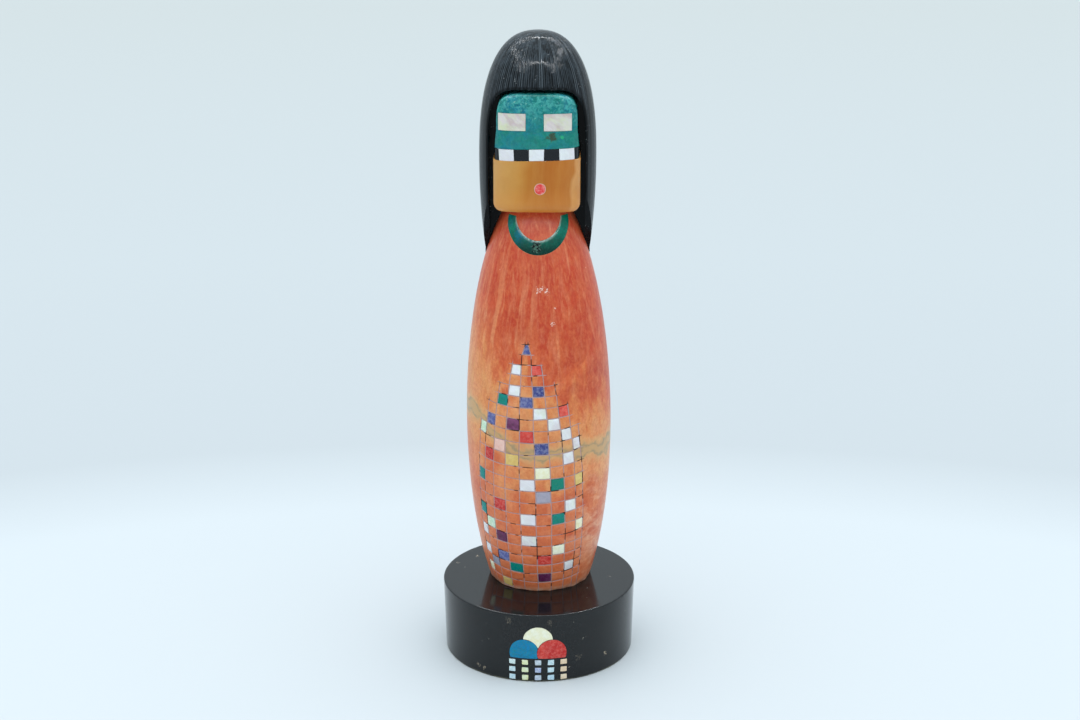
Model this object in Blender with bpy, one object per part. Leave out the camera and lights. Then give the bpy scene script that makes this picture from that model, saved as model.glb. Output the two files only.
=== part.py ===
"""Inlaid stone kachina figure: a corn maiden of orange stone with black hair, on a black plinth.

Metres, +Z up, the front faces -Y, the origin is at the centre of the plinth's underside.
Figure heights are measured from the plinth's top, where the figure stands.
"""

import math
import random

import bmesh
import bpy
from mathutils import Matrix, Vector

# Gap left between stones that touch
FIT = 0.0003

# Plinth
PLINTH_RADIUS = 0.0400
PLINTH_HEIGHT = 0.0300
PLINTH_TAPER = 0.0008
PLINTH_RIM = 0.0004

# Where the figure stands on the plinth, and how much it leans to -X
FIGURE_X = 0.0005
FIGURE_Y = 0.0040
FIGURE_LEAN = math.radians(0.458)
FIGURE_BEND = math.radians(0.60)
BEND_HEIGHT = 0.1330

# Body: two half ovals that meet at the belly
BODY_RADIUS = 0.02955
BELLY_HEIGHT = 0.0687
BODY_LOWER = 0.0946
BODY_LOWER_POWER = 2.065
BODY_UPPER = 0.1003
BODY_UPPER_POWER = 1.96
NECK_HEIGHT = 0.1589

# Flat bed behind the shoulders, where the hair is set, from the neck down to a ledge
BED_SLOPE = 0.347
LEDGE_HEIGHT = 0.1080

# Hair: a hood round the head that falls behind the shoulders
HAIR_RADIUS = 0.02317
HAIR_WIDEST = 0.1776
HAIR_CROWN = 0.0504
HAIR_CROWN_POWER = 2.47
HAIR_FALL = 0.0831
HAIR_BLEND = 0.0030
NAPE_START = 0.4
NAPE_END = 0.8

# Opening in the hood for the head. Its back wall lies a little behind the figure's axis
RECESS_HALF_WIDTH = 0.0189
RECESS_TOP = 0.2079
RECESS_POWER = 4.25
RECESS_BACK = 0.0003

# Lower ends of the locks, cut back so that they pass behind the shoulders.
LOCK_TOP = 0.1650
LOCK_FRONT = 0.0129
LOCK_LOW = 0.1400
LOCK_BACK = 0.0010

# Head: slabs of stone stacked on the neck, with one curved front
HEAD_TURN = math.radians(-1.5)
HEAD_FRONT = 0.0190
HEAD_CURVE = 0.0060
HEAD_CURVE_POWER = 2.6
JOINT_TILT = math.radians(1.2)
CHIN_HALF_WIDTH = 0.0170
CHIN_LOW = 0.1592
CHIN_HEIGHT = 0.0213
CHIN_ROUND = 0.0043
BAND_HEIGHT = 0.0045
BAND_PITCH = 0.00585
BAND_SQUARES = 5
FACE_HALF_WIDTH = 0.0164
MASK_HALF_WIDTH = 0.0157
MASK_SPRING = 0.0070
MASK_HEIGHT = 0.0216
MASK_POWER = 4.0

# Eyes and mouth, set into the face
EYE_WIDTH = 0.0107
EYE_HEIGHT = 0.0067
EYE_SPACING = 0.0177
EYE_RISE = 0.0105
EYE_SHIFT = -0.0007
EYE_DEPTH = 0.0020
MOUTH_RADIUS = 0.0021
MOUTH_RISE = 0.0102
MOUTH_SHIFT = 0.0014
MOUTH_DEPTH = 0.0030

# Necklace: a crescent between two ovals, seen from the front
NECKLACE_WIDTH = 0.0120
NECKLACE_DROP = 0.0110
NECKLACE_CENTRE = 0.1540
NECKLACE_INNER_WIDTH = 0.0087
NECKLACE_INNER_DROP = 0.0084
NECKLACE_TOP = 0.1568
NECKLACE_SHIFT = 0.0003
NECKLACE_DEPTH = 0.0015
NECKLACE_PROUD = 0.0004

# Corn cob on the body's front, cut into rows and columns of kernels
COB_TOP = 0.1046
COB_TIP = 0.0040
COB_FOOT = 0.0004
COB_ROWS = 22
COB_TURN = math.radians(-9.6)
COB_HALF_COLUMNS = 4
COB_HALF_WIDTH = 0.0268
COLUMN_STEP = math.radians(14.0)
COB_WIDEST = 0.0400
COB_HALF_HEIGHT = 0.0760
ROW_SWELL = 0.0019
ROW_RISE = 0.0018
KERNEL_DEPTH = 0.0015
KERNEL_LAND = 0.00006
KERNEL_TIP = 0.2
KERNEL_CHANCE = 0.48
KERNEL_SEED = 18
KERNEL_NODES = 26

# Cloud and rain inlay on the plinth's front
CLOUD_CENTRE = -0.0004
CLOUD_RADIUS = 0.0061
CLOUD_SPACING = 0.0116
CLOUD_FLOOR = 0.0105
CLOUD_RISE = 0.0023
TOP_CLOUD_RISE = 0.0080
INLAY_DEPTH = 0.0015
RAIN_ROWS = 3
RAIN_COLUMNS = 5
RAIN_WIDTH = 0.0026
RAIN_HEIGHT = 0.0022
RAIN_COLUMN_PITCH = 0.00538
RAIN_ROW_PITCH = 0.0034
RAIN_LAND = 0.0001

# Stones and pockets with sharper corners than this lose the corner's point
SHARPEST_MITRE = 2.0

# How finely round shapes are divided
ROUND_STEPS = 60
BODY_RINGS = 20
HAIR_RINGS = 10
CROWN_RINGS = 11

# Base colour and roughness of each stone
STONES = {
    "coral_orange": ((0.62, 0.20, 0.09), 0.32),
    "black_marble": ((0.020, 0.023, 0.028), 0.18),
    "black_hair": ((0.025, 0.029, 0.035), 0.30),
    "turquoise": ((0.010, 0.25, 0.22), 0.35),
    "honey_onyx": ((0.55, 0.24, 0.05), 0.22),
    "pearl": ((0.76, 0.68, 0.61), 0.20),
    "jet": ((0.012, 0.014, 0.018), 0.20),
    "coral_red": ((0.60, 0.055, 0.045), 0.30),
    "malachite": ((0.010, 0.17, 0.11), 0.30),
    "shell": ((0.74, 0.79, 0.62), 0.25),
    "blue_turquoise": ((0.010, 0.22, 0.36), 0.30),
    "lapis": ((0.055, 0.085, 0.30), 0.30),
    "sugilite": ((0.14, 0.025, 0.11), 0.30),
    "amber": ((0.50, 0.32, 0.06), 0.28),
    "pink_shell": ((0.72, 0.42, 0.38), 0.28),
    "grey_shell": ((0.34, 0.36, 0.42), 0.28),
    "sea_shell": ((0.50, 0.68, 0.52), 0.25),
}

# Kernel stones, each with its share of the inlaid kernels
KERNEL_STONES = [
    ("pearl", 0.25),
    ("turquoise", 0.17),
    ("shell", 0.13),
    ("coral_red", 0.14),
    ("lapis", 0.10),
    ("sugilite", 0.06),
    ("amber", 0.06),
    ("sea_shell", 0.04),
    ("grey_shell", 0.03),
    ("pink_shell", 0.02),
]


def clear_scene():
    for obj in list(bpy.data.objects):
        bpy.data.objects.remove(obj, do_unlink=True)


def stone(name):
    found = bpy.data.materials.get(name)
    if found:
        return found
    colour, roughness = STONES[name]
    material = bpy.data.materials.new(name)
    material.use_nodes = True
    shader = material.node_tree.nodes["Principled BSDF"]
    shader.inputs["Base Color"].default_value = (*colour, 1.0)
    shader.inputs["Roughness"].default_value = roughness
    shader.inputs["Metallic"].default_value = 0.0
    return material


def skin(rings, first_hub, last_hub):
    """Closed mesh over rings of equal length, with a fan of triangles to a hub at each end."""
    bm = bmesh.new()
    rows = [[bm.verts.new(point) for point in ring] for ring in rings]
    count = len(rows[0])
    for lower, upper in zip(rows, rows[1:]):
        for i in range(count):
            j = (i + 1) % count
            bm.faces.new((lower[i], lower[j], upper[j], upper[i]))
    for row, hub in ((rows[0], first_hub), (rows[-1], last_hub)):
        centre = bm.verts.new(hub)
        for i in range(count):
            bm.faces.new((row[i], row[(i + 1) % count], centre))
    bmesh.ops.recalc_face_normals(bm, faces=bm.faces)
    return bm


def add_object(name, bm, material, parent=None):
    mesh = bpy.data.meshes.new(name)
    bm.to_mesh(mesh)
    bm.free()
    mesh.shade_smooth()
    mesh.set_sharp_from_angle(angle=math.radians(35))
    mesh.materials.append(stone(material))
    obj = bpy.data.objects.new(name, mesh)
    bpy.context.scene.collection.objects.link(obj)
    obj.parent = parent
    return obj


def add_cutter(name, bm, parent=None):
    mesh = bpy.data.meshes.new(name)
    bm.to_mesh(mesh)
    bm.free()
    obj = bpy.data.objects.new(name, mesh)
    bpy.context.scene.collection.objects.link(obj)
    obj.parent = parent
    obj.hide_render = True
    obj.display_type = "WIRE"
    return obj


def cut(obj, cutter):
    modifier = obj.modifiers.new("cut_" + cutter.name, "BOOLEAN")
    modifier.operation = "DIFFERENCE"
    modifier.solver = "EXACT"
    modifier.object = cutter


def leaned(bm, turn=0.0):
    """Turns a figure's piece, then leans it without tilting its foot. Its head leans back a little."""
    bm.transform(Matrix.Rotation(turn, 4, "Z"))
    for vert in bm.verts:
        back = math.tan(FIGURE_BEND) * max(0.0, vert.co.z - BEND_HEIGHT)
        vert.co.x += back - math.tan(FIGURE_LEAN) * vert.co.z
    return bm


def turned(profile, start=0.0):
    """Round solid from (radius, height) pairs, bottom to top, its facets shifted by a share of one."""
    angles = [2 * math.pi * (i + start) / ROUND_STEPS for i in range(ROUND_STEPS)]
    rings = [[(r * math.sin(a), -r * math.cos(a), z) for a in angles] for r, z in profile]
    return skin(rings, (0, 0, profile[0][1]), (0, 0, profile[-1][1]))


def slab(outline, hub, front, back, inner=()):
    """Closed piece over an outline of (u, v) points, seen from a hub inside it.

    front and back give the place of a point on each face, and inner the scales of the
    rings between the outline and the hub, so that a curved face is followed.
    """

    def ring(face, scale):
        return [face(hub[0] + (u - hub[0]) * scale, hub[1] + (v - hub[1]) * scale) for u, v in outline]

    rings = [ring(back, 1.0), ring(front, 1.0)]
    rings += [ring(front, scale) for scale in inner]
    return skin(rings, back(*hub), front(*hub))


def grown(outline, by):
    """The outline moved outwards by a distance, with its corners mitred."""
    result = []
    count = len(outline)
    for i in range(count):
        before, here, after = (Vector(outline[(i + k) % count]) for k in (-1, 0, 1))
        first = (here - before).normalized()
        second = (after - here).normalized()
        normals = Vector((first.y, -first.x)) + Vector((second.y, -second.x))
        moved = here + normals * (by * min(2 / normals.length_squared, SHARPEST_MITRE))
        result.append((moved.x, moved.y))
    return result


def edge_points(corners, steps):
    """The outline through the corners, with each side divided into steps."""
    points = []
    for i, start in enumerate(corners):
        end = corners[(i + 1) % len(corners)]
        for k in range(steps):
            t = k / steps
            points.append((start[0] + (end[0] - start[0]) * t, start[1] + (end[1] - start[1]) * t))
    return points


def middle(outline):
    count = len(outline)
    return (sum(u for u, v in outline) / count, sum(v for u, v in outline) / count)


def body_radius(height):
    rise = height - BELLY_HEIGHT
    if rise >= 0:
        left = max(0.0, 1 - (rise / BODY_UPPER) ** BODY_UPPER_POWER)
        return BODY_RADIUS * left ** (1 / BODY_UPPER_POWER)
    left = max(0.0, 1 - (-rise / BODY_LOWER) ** BODY_LOWER_POWER)
    return BODY_RADIUS * left ** (1 / BODY_LOWER_POWER)


def hood_radius(height):
    rise = height - HAIR_WIDEST
    if rise >= 0:
        left = max(0.0, 1 - (rise / HAIR_CROWN) ** HAIR_CROWN_POWER)
        return HAIR_RADIUS * left ** (1 / HAIR_CROWN_POWER)
    return HAIR_RADIUS * math.sqrt(max(0.0, 1 - (rise / HAIR_FALL) ** 2))


def smooth_step(low, high, value):
    t = min(1.0, max(0.0, (value - low) / (high - low)))
    return t * t * (3 - 2 * t)


def hair_radius(height, backness):
    """Follows the hood above and the body below. backness is 1 at the nape, where the two blend."""
    hood = hood_radius(height)
    body = body_radius(height)
    overlap = max(0.0, HAIR_BLEND - abs(hood - body))
    blend = overlap * overlap / (4 * HAIR_BLEND)
    return max(hood, body) + blend * smooth_step(NAPE_START, NAPE_END, backness)


def bed_depth(height):
    """How far behind the figure's axis the bed lies at a height."""
    return (NECK_HEIGHT - height) * BED_SLOPE


def plinth_radius(height):
    return PLINTH_RADIUS - PLINTH_TAPER * (1 - height / PLINTH_HEIGHT)


def on_plinth(depth):
    """Maps (distance round the plinth, height) to a place at a depth under its side."""

    def place(u, v):
        radius = plinth_radius(v) - depth
        angle = u / PLINTH_RADIUS
        return (radius * math.sin(angle), -radius * math.cos(angle), v)

    return place


def on_body(depth):
    """Maps (distance round the body, height) to a place at a depth under its surface."""

    def place(u, v):
        surface = body_radius(v)
        angle = COB_TURN + u / surface
        return ((surface - depth) * math.sin(angle), -(surface - depth) * math.cos(angle), v)

    return place


def on_face(half_width, depth=0.0, low=None):
    """Maps (x, height) to the curved front of the head, rounded under from a low edge if given."""

    def place(u, v):
        across = min(1.0, abs(u) / half_width)
        bulge = HEAD_CURVE * (1 - across**HEAD_CURVE_POWER) ** (1 / HEAD_CURVE_POWER)
        tuck = 0.0
        if low is not None and v < low + CHIN_ROUND:
            tuck = CHIN_ROUND - math.sqrt(max(0.0, CHIN_ROUND**2 - (low + CHIN_ROUND - v) ** 2))
        return (u, -(HEAD_FRONT - HEAD_CURVE + bulge) + tuck + depth, v)

    return place


def flat_back(depth):
    return lambda u, v: (u, depth, v)


def make_plinth(pockets):
    profile = [
        (plinth_radius(0) - PLINTH_RIM, 0),
        (plinth_radius(PLINTH_RIM), PLINTH_RIM),
        (plinth_radius(PLINTH_HEIGHT - PLINTH_RIM), PLINTH_HEIGHT - PLINTH_RIM),
        (PLINTH_RADIUS - PLINTH_RIM, PLINTH_HEIGHT),
    ]
    plinth = add_object("plinth", turned(profile), "black_marble")
    cut(plinth, pockets)


def body_profile(grow=0.0):
    """The body's outline from foot to neck, closer spaced towards both ends."""
    foot = FIT
    profile = []
    for i in range(BODY_RINGS + 1):
        t = i / BODY_RINGS
        t += 0.5 * ((1 - math.cos(math.pi * t)) / 2 - t)
        height = foot + (NECK_HEIGHT - foot) * t
        profile.append((body_radius(height) + grow, height))
    first, last = profile[0], profile[-1]
    profile[0] = (first[0], first[1] - grow)
    profile[-1] = (last[0], last[1] + grow)
    return profile


def bed_cutter(name, back, figure):
    """Wedge behind the bed and above the ledge. back moves it away from the body's stone."""
    top = HAIR_WIDEST
    low = LEDGE_HEIGHT + back
    far = 2 * BODY_RADIUS
    side = [
        (bed_depth(top) + back, top),
        (bed_depth(low) + back, low),
        (far, low),
        (far, top),
    ]
    ends = [[(x, y, z) for y, z in side] for x in (-far, far)]
    centre = middle(side)
    bm = skin(ends, (-far, *centre), (far, *centre))
    return add_cutter(name, leaned(bm), figure)


def make_body(figure, pockets):
    body = add_object("body", leaned(turned(body_profile())), "coral_orange", figure)
    cut(body, bed_cutter("bed", 0.0, figure))
    for pocket in pockets:
        cut(body, pocket)


def hair_rings():
    angles = [2 * math.pi * i / ROUND_STEPS for i in range(ROUND_STEPS)]
    heights = [
        LEDGE_HEIGHT - HAIR_BLEND + (HAIR_WIDEST - LEDGE_HEIGHT + HAIR_BLEND) * i / HAIR_RINGS
        for i in range(HAIR_RINGS)
    ]
    for i in range(CROWN_RINGS):
        swing = math.sin(math.pi / 2 * i / CROWN_RINGS)
        heights.append(HAIR_WIDEST + HAIR_CROWN * swing ** (2 / HAIR_CROWN_POWER))
    rings = []
    for z in heights:
        radii = [hair_radius(z, -math.cos(a)) for a in angles]
        rings.append([(r * math.sin(a), -r * math.cos(a), z) for r, a in zip(radii, angles)])
    return rings, heights[0]


def arch(half_width, foot_half_width, low, spring, top, power):
    """Outline with straight sides and a rounded head, starting at its left foot."""
    steps = 12
    points = [(foot_half_width * (2 * i / steps - 1), low) for i in range(steps)]
    points.append((foot_half_width, low))
    turns = [math.pi * i / (2 * steps) for i in range(2 * steps + 1)]
    for turn in turns:
        across = math.cos(turn)
        u = half_width * math.copysign(abs(across) ** (2 / power), across)
        points.append((u, spring + (top - spring) * math.sin(turn) ** (2 / power)))
    return points


def lock_cutter(low, figure):
    """Removes the front of the locks' lower ends, in front of a slanted flat."""
    far = 2 * BODY_RADIUS
    low -= FIT
    side = [
        (-far, LOCK_TOP),
        (-LOCK_FRONT, LOCK_TOP),
        (LOCK_BACK, LOCK_LOW),
        (LOCK_BACK, low),
        (-far, low),
    ]
    ends = [[(x, y, z) for y, z in side] for x in (-far, far)]
    centre = middle(side)
    bm = skin(ends, (-far, *centre), (far, *centre))
    return add_cutter("lock_ends", leaned(bm), figure)


def make_hair(figure):
    rings, low = hair_rings()
    bm = skin(rings, (0, HAIR_RADIUS / 2, low), (0, 0, HAIR_WIDEST + HAIR_CROWN))
    hair = add_object("hair", leaned(bm), "black_hair", figure)
    outline = arch(RECESS_HALF_WIDTH, RECESS_HALF_WIDTH, 0.0, HAIR_WIDEST, RECESS_TOP, RECESS_POWER)
    reach = 2 * HAIR_RADIUS
    bm = slab(outline, (0, HAIR_WIDEST), flat_back(-reach), flat_back(RECESS_BACK))
    cut(hair, add_cutter("recess", leaned(bm, HEAD_TURN), figure))
    cut(hair, lock_cutter(low, figure))
    clearance = add_cutter("clearance", leaned(turned(body_profile(FIT), 0.5)), figure)
    cut(clearance, bed_cutter("hair_bed", FIT, figure))
    cut(hair, clearance)


def tilted(outline, centre_line):
    """Points near a joint line follow its tilt."""
    rise = math.tan(JOINT_TILT)
    return [(u, v + rise * u if abs(v - centre_line) < FIT else v) for u, v in outline]


def chin_outline(low, high):
    """Slab with rounded lower corners, starting at its upper left corner."""
    steps = 5
    corner = CHIN_HALF_WIDTH - CHIN_ROUND
    spring = low + CHIN_ROUND
    side = high - spring
    quarter = [math.pi / 2 * i / steps for i in range(steps + 1)]
    points = [(-CHIN_HALF_WIDTH, high - side * i / steps) for i in range(steps)]
    points += [(-corner - CHIN_ROUND * math.cos(a), spring - CHIN_ROUND * math.sin(a)) for a in quarter]
    points += [(corner * (i / steps - 1), low) for i in range(1, 2 * steps)]
    points += [(corner + CHIN_ROUND * math.sin(a), spring - CHIN_ROUND * math.cos(a)) for a in quarter]
    points += [(CHIN_HALF_WIDTH, spring + side * i / steps) for i in range(1, steps)]
    points += [(CHIN_HALF_WIDTH * (1 - i / steps), high) for i in range(2 * steps)]
    return points


def make_chin(figure):
    low = CHIN_LOW
    high = CHIN_LOW + CHIN_HEIGHT - FIT / 2
    outline = tilted(chin_outline(low, high), high)
    front = on_face(CHIN_HALF_WIDTH, low=low)
    back = flat_back(RECESS_BACK - FIT)
    bm = slab(outline, (0, (low + high) / 2), front, back, (0.985, 0.94, 0.84, 0.62, 0.32))
    chin = add_object("chin", leaned(bm, HEAD_TURN), "honey_onyx", figure)
    hub = (MOUTH_SHIFT, low + MOUTH_RISE)
    mouth = [
        (hub[0] + MOUTH_RADIUS * math.cos(a), hub[1] + MOUTH_RADIUS * math.sin(a))
        for a in (2 * math.pi * i / 20 for i in range(20))
    ]
    inset(figure, "mouth", "coral_red", mouth, hub, MOUTH_DEPTH, CHIN_HALF_WIDTH, chin)


def inset(figure, name, material, outline, hub, depth, half_width, holder):
    """A stone let into the face, and its pocket in the stone that holds it."""
    bm = slab(outline, hub, on_face(half_width), on_face(half_width, depth))
    add_object(name, leaned(bm, HEAD_TURN), material, figure)
    pocket = slab(grown(outline, FIT), hub, on_face(half_width, -depth), on_face(half_width, depth + FIT))
    cut(holder, add_cutter(name + "_pocket", leaned(pocket, HEAD_TURN), figure))


def make_band(figure):
    low = CHIN_LOW + CHIN_HEIGHT + FIT / 2
    high = CHIN_LOW + CHIN_HEIGHT + BAND_HEIGHT - FIT / 2
    half = BAND_PITCH * BAND_SQUARES / 2
    joints = [-half + BAND_PITCH * i for i in range(BAND_SQUARES + 1)]
    edges = [-FACE_HALF_WIDTH, *joints, FACE_HALF_WIDTH]
    for i, (left, right) in enumerate(zip(edges, edges[1:])):
        left += FIT / 2 if i else 0.0
        right -= FIT / 2 if i < BAND_SQUARES + 1 else 0.0
        corners = [(left, low), (right, low), (right, high), (left, high)]
        outline = [(u, v + math.tan(JOINT_TILT) * u) for u, v in edge_points(corners, 4)]
        kind = "pearl" if i % 2 else "jet"
        bm = slab(outline, middle(outline), on_face(FACE_HALF_WIDTH), flat_back(RECESS_BACK - FIT))
        add_object(f"band_{i + 1}_{kind}", leaned(bm, HEAD_TURN), kind, figure)


def make_mask(figure):
    base = CHIN_LOW + CHIN_HEIGHT + BAND_HEIGHT
    low = base + FIT / 2
    spring, top = base + MASK_SPRING, base + MASK_HEIGHT
    outline = arch(MASK_HALF_WIDTH, FACE_HALF_WIDTH, low, spring, top, MASK_POWER)
    hub = (0, (base + top) / 2)
    front, back = on_face(FACE_HALF_WIDTH), flat_back(RECESS_BACK - FIT)
    bm = slab(tilted(outline, low), hub, front, back, (0.98, 0.92, 0.8, 0.55, 0.28))
    mask = add_object("mask", leaned(bm, HEAD_TURN), "turquoise", figure)
    for name, side in (("eye_left", -1), ("eye_right", 1)):
        u = EYE_SHIFT + side * EYE_SPACING / 2
        v = base + EYE_RISE
        corners = [
            (u - EYE_WIDTH / 2, v - EYE_HEIGHT / 2),
            (u + EYE_WIDTH / 2, v - EYE_HEIGHT / 2),
            (u + EYE_WIDTH / 2, v + EYE_HEIGHT / 2),
            (u - EYE_WIDTH / 2, v + EYE_HEIGHT / 2),
        ]
        inset(figure, name, "pearl", edge_points(corners, 4), (u, v), EYE_DEPTH, FACE_HALF_WIDTH, mask)


def necklace_solid(grow, proud, depth):
    """Crescent along the chest: each station is a section from its outer to its inner edge."""
    top = NECKLACE_TOP + grow
    outer_swing = math.acos((NECKLACE_CENTRE - top) / NECKLACE_DROP)
    rings = []
    for i in range(-12, 13):
        turn = outer_swing * i / 12
        across = (NECKLACE_WIDTH + grow) * math.sin(turn)
        outer = (across, NECKLACE_CENTRE - (NECKLACE_DROP + grow) * math.cos(turn))
        turn = math.pi / 2 * i / 12
        across = (NECKLACE_INNER_WIDTH - grow) * math.sin(turn)
        inner = (across, top - (NECKLACE_INNER_DROP - grow) * math.cos(turn))
        between = ((outer[0] + inner[0]) / 2, (outer[1] + inner[1]) / 2)
        section = [(outer, -depth), (outer, proud), (between, proud), (inner, proud), (inner, -depth)]
        rings.append([chest(u + NECKLACE_SHIFT, v, out) for (u, v), out in section])
    hubs = [tuple(sum(axis) / len(ring) for axis in zip(*ring)) for ring in (rings[0], rings[-1])]
    return leaned(skin(rings, *hubs))


def chest(u, v, out):
    """Place on the body seen from the front at (x, height), moved out from its surface."""
    radius = body_radius(v) + out
    return (u, -math.sqrt(max(0.0, radius**2 - u**2)), v)


def make_necklace(figure):
    solid = necklace_solid(0.0, NECKLACE_PROUD, NECKLACE_DEPTH)
    add_object("necklace", solid, "malachite", figure)
    pocket = necklace_solid(FIT, 3 * NECKLACE_PROUD, NECKLACE_DEPTH + FIT)
    return add_cutter("necklace_pocket", pocket, figure)


def row_line(row):
    """Height of the line under a row at the cob's middle. The rows are tallest halfway down."""
    t = row / COB_ROWS
    return COB_TOP + (COB_FOOT - COB_TOP) * t + ROW_SWELL * math.sin(2 * math.pi * t)


def cob_point(column, height):
    """(distance round the body, height) of a point on a column line, which runs in to the tip."""
    share = column / (COB_HALF_COLUMNS + 0.5)
    narrowing = math.sqrt(max(0.0, 1 - ((height - COB_WIDEST) / COB_HALF_HEIGHT) ** 2))
    around = COB_HALF_WIDTH * math.sin(COLUMN_STEP * column) * narrowing
    return (around, height + ROW_RISE * share**2)


def kernel_outline(row, column):
    """Four sided cell of the cob, or its pointed tip in row 0."""
    high = COB_TOP + COB_TIP if row == 0 else row_line(row - 1)
    low = row_line(row)
    half_top = KERNEL_TIP if row == 0 else 0.5
    corners = [
        cob_point(column - 0.5, low),
        cob_point(column + 0.5, low),
        cob_point(column + half_top, high),
        cob_point(column - half_top, high),
    ]
    return edge_points(grown(corners, -FIT - KERNEL_LAND), 3)


def pick_stone(chance, last):
    """A kernel stone by its share, never the same one twice running."""
    shares = [(name, share) for name, share in KERNEL_STONES if name != last]
    chance *= sum(share for name, share in shares)
    for name, share in shares:
        chance -= share
        if chance <= 0:
            return name
    return shares[-1][0]


def inlaid_kernels():
    """(row, column, stone) of every inlaid kernel: scattered, and no two share a side."""
    chances = random.Random(KERNEL_SEED)
    found = [(0, 0, "lapis")]
    taken = {(0, 0)}
    last = "lapis"
    for row in range(1, COB_ROWS + 1):
        span = min(COB_HALF_COLUMNS, row // 2)
        for column in range(-span, span + 1):
            draw, kind = chances.random(), chances.random()
            if draw > KERNEL_CHANCE or (row - 1, column) in taken or (row, column - 1) in taken:
                continue
            last = pick_stone(kind, last)
            found.append((row, column, last))
            taken.add((row, column))
    return found


def make_kernels(figure):
    """The inlaid kernels nearest the cob's middle column, and one mesh of all their pockets."""
    pockets = bmesh.new()
    kernels = sorted(inlaid_kernels(), key=lambda kernel: (abs(kernel[1]), kernel[0]))
    for row, column, material in kernels[:KERNEL_NODES]:
        outline = kernel_outline(row, column)
        hub = middle(outline)
        bm = slab(outline, hub, on_body(0.0), on_body(KERNEL_DEPTH))
        name = f"kernel_r{row:02d}_c{column + COB_HALF_COLUMNS + 1}"
        add_object(name, leaned(bm), material, figure)
        bm = slab(grown(outline, FIT), hub, on_body(-KERNEL_DEPTH), on_body(KERNEL_DEPTH + FIT))
        join(pockets, bm)
    return add_cutter("kernel_pockets", leaned(pockets), figure)


def join(target, source):
    """Adds a mesh to another, without merging them."""
    mesh = bpy.data.meshes.new("joined")
    source.to_mesh(mesh)
    source.free()
    target.from_mesh(mesh)
    bpy.data.meshes.remove(mesh)


def cloud_outline(hub, centre, radius, floor=None, bites=()):
    """Disc seen from a hub inside it, cut by a flat floor and by the discs that lie over it."""
    points = []
    for i in range(48):
        a = 2 * math.pi * i / 48
        way = Vector((math.cos(a), math.sin(a)))
        reach = [disc_exit(hub, way, centre, radius)]
        if floor is not None and way.y < 0:
            reach.append((floor - hub[1]) / way.y)
        for other, size in bites:
            reach.append(disc_entry(hub, way, other, size))
        distance = min(reach)
        points.append((hub[0] + way.x * distance, hub[1] + way.y * distance))
    return points


def disc_roots(hub, way, centre, radius):
    offset = Vector(centre) - Vector(hub)
    along = offset.dot(way)
    return along, along**2 - offset.length_squared + radius**2


def disc_exit(hub, way, centre, radius):
    along, square = disc_roots(hub, way, centre, radius)
    return along + math.sqrt(max(0.0, square))


def disc_entry(hub, way, centre, radius):
    along, square = disc_roots(hub, way, centre, radius)
    if square <= 0 or along <= 0:
        return math.inf
    return along - math.sqrt(square)


def make_inlay():
    """Three clouds over squares of rain. Each sits in a pocket of the plinth's side."""
    pockets = bmesh.new()
    low = CLOUD_FLOOR
    left = (CLOUD_CENTRE - CLOUD_SPACING / 2, low + CLOUD_RISE)
    right = (CLOUD_CENTRE + CLOUD_SPACING / 2, low + CLOUD_RISE)
    top = (CLOUD_CENTRE, low + TOP_CLOUD_RISE)
    apart = CLOUD_RADIUS + 3 * FIT
    lifted = (top[0], top[1] + CLOUD_RADIUS / 4)
    aside = (left[0] - CLOUD_RADIUS / 8, left[1] + CLOUD_RADIUS / 8)
    red = cloud_outline(right, right, CLOUD_RADIUS, low)
    blue = cloud_outline(aside, left, CLOUD_RADIUS, low, [(right, apart)])
    cream = cloud_outline(lifted, top, CLOUD_RADIUS, None, [(left, apart), (right, apart)])
    set_in_plinth("cloud_right", "coral_red", red, right, pockets)
    set_in_plinth("cloud_left", "blue_turquoise", blue, aside, pockets)
    set_in_plinth("cloud_top", "shell", cream, lifted, pockets)
    for row in range(RAIN_ROWS):
        v = low - 2 * FIT - RAIN_LAND - RAIN_HEIGHT / 2 - RAIN_ROW_PITCH * row
        for column in range(RAIN_COLUMNS):
            u = CLOUD_CENTRE + RAIN_COLUMN_PITCH * (column - (RAIN_COLUMNS - 1) / 2)
            corners = [
                (u - RAIN_WIDTH / 2, v - RAIN_HEIGHT / 2),
                (u + RAIN_WIDTH / 2, v - RAIN_HEIGHT / 2),
                (u + RAIN_WIDTH / 2, v + RAIN_HEIGHT / 2),
                (u - RAIN_WIDTH / 2, v + RAIN_HEIGHT / 2),
            ]
            name = f"rain_r{row + 1}_c{column + 1}"
            set_in_plinth(name, "shell", edge_points(corners, 2), (u, v), pockets)
    return add_cutter("inlay_pockets", pockets)


def set_in_plinth(name, material, outline, hub, pockets):
    bm = slab(outline, hub, on_plinth(0.0), on_plinth(INLAY_DEPTH), (0.5,))
    add_object(name, bm, material)
    front, back = on_plinth(-INLAY_DEPTH), on_plinth(INLAY_DEPTH + FIT)
    join(pockets, slab(grown(outline, FIT), hub, front, back, (0.5,)))


def main():
    clear_scene()
    figure = bpy.data.objects.new("figure", None)
    figure.location = (FIGURE_X, FIGURE_Y, PLINTH_HEIGHT)
    bpy.context.scene.collection.objects.link(figure)
    make_plinth(make_inlay())
    make_body(figure, [make_necklace(figure), make_kernels(figure)])
    make_hair(figure)
    make_chin(figure)
    make_band(figure)
    make_mask(figure)


main()
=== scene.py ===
# %% [markdown]
# # A corn maiden in inlaid stone
#
# The real object is a small lapidary figure, about 26 cm high. A body of orange stone stands on a
# round black plinth, a hood of black stone falls behind its shoulders, and a head of stacked slabs
# looks out of the hood. Small plates of shell and coloured stone are let into all of it.
#
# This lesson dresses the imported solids. Each plain solid gives its place to a finely cut piece
# made from the same sizes, and each stone gets a finish of its own.

import math
import random

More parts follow.
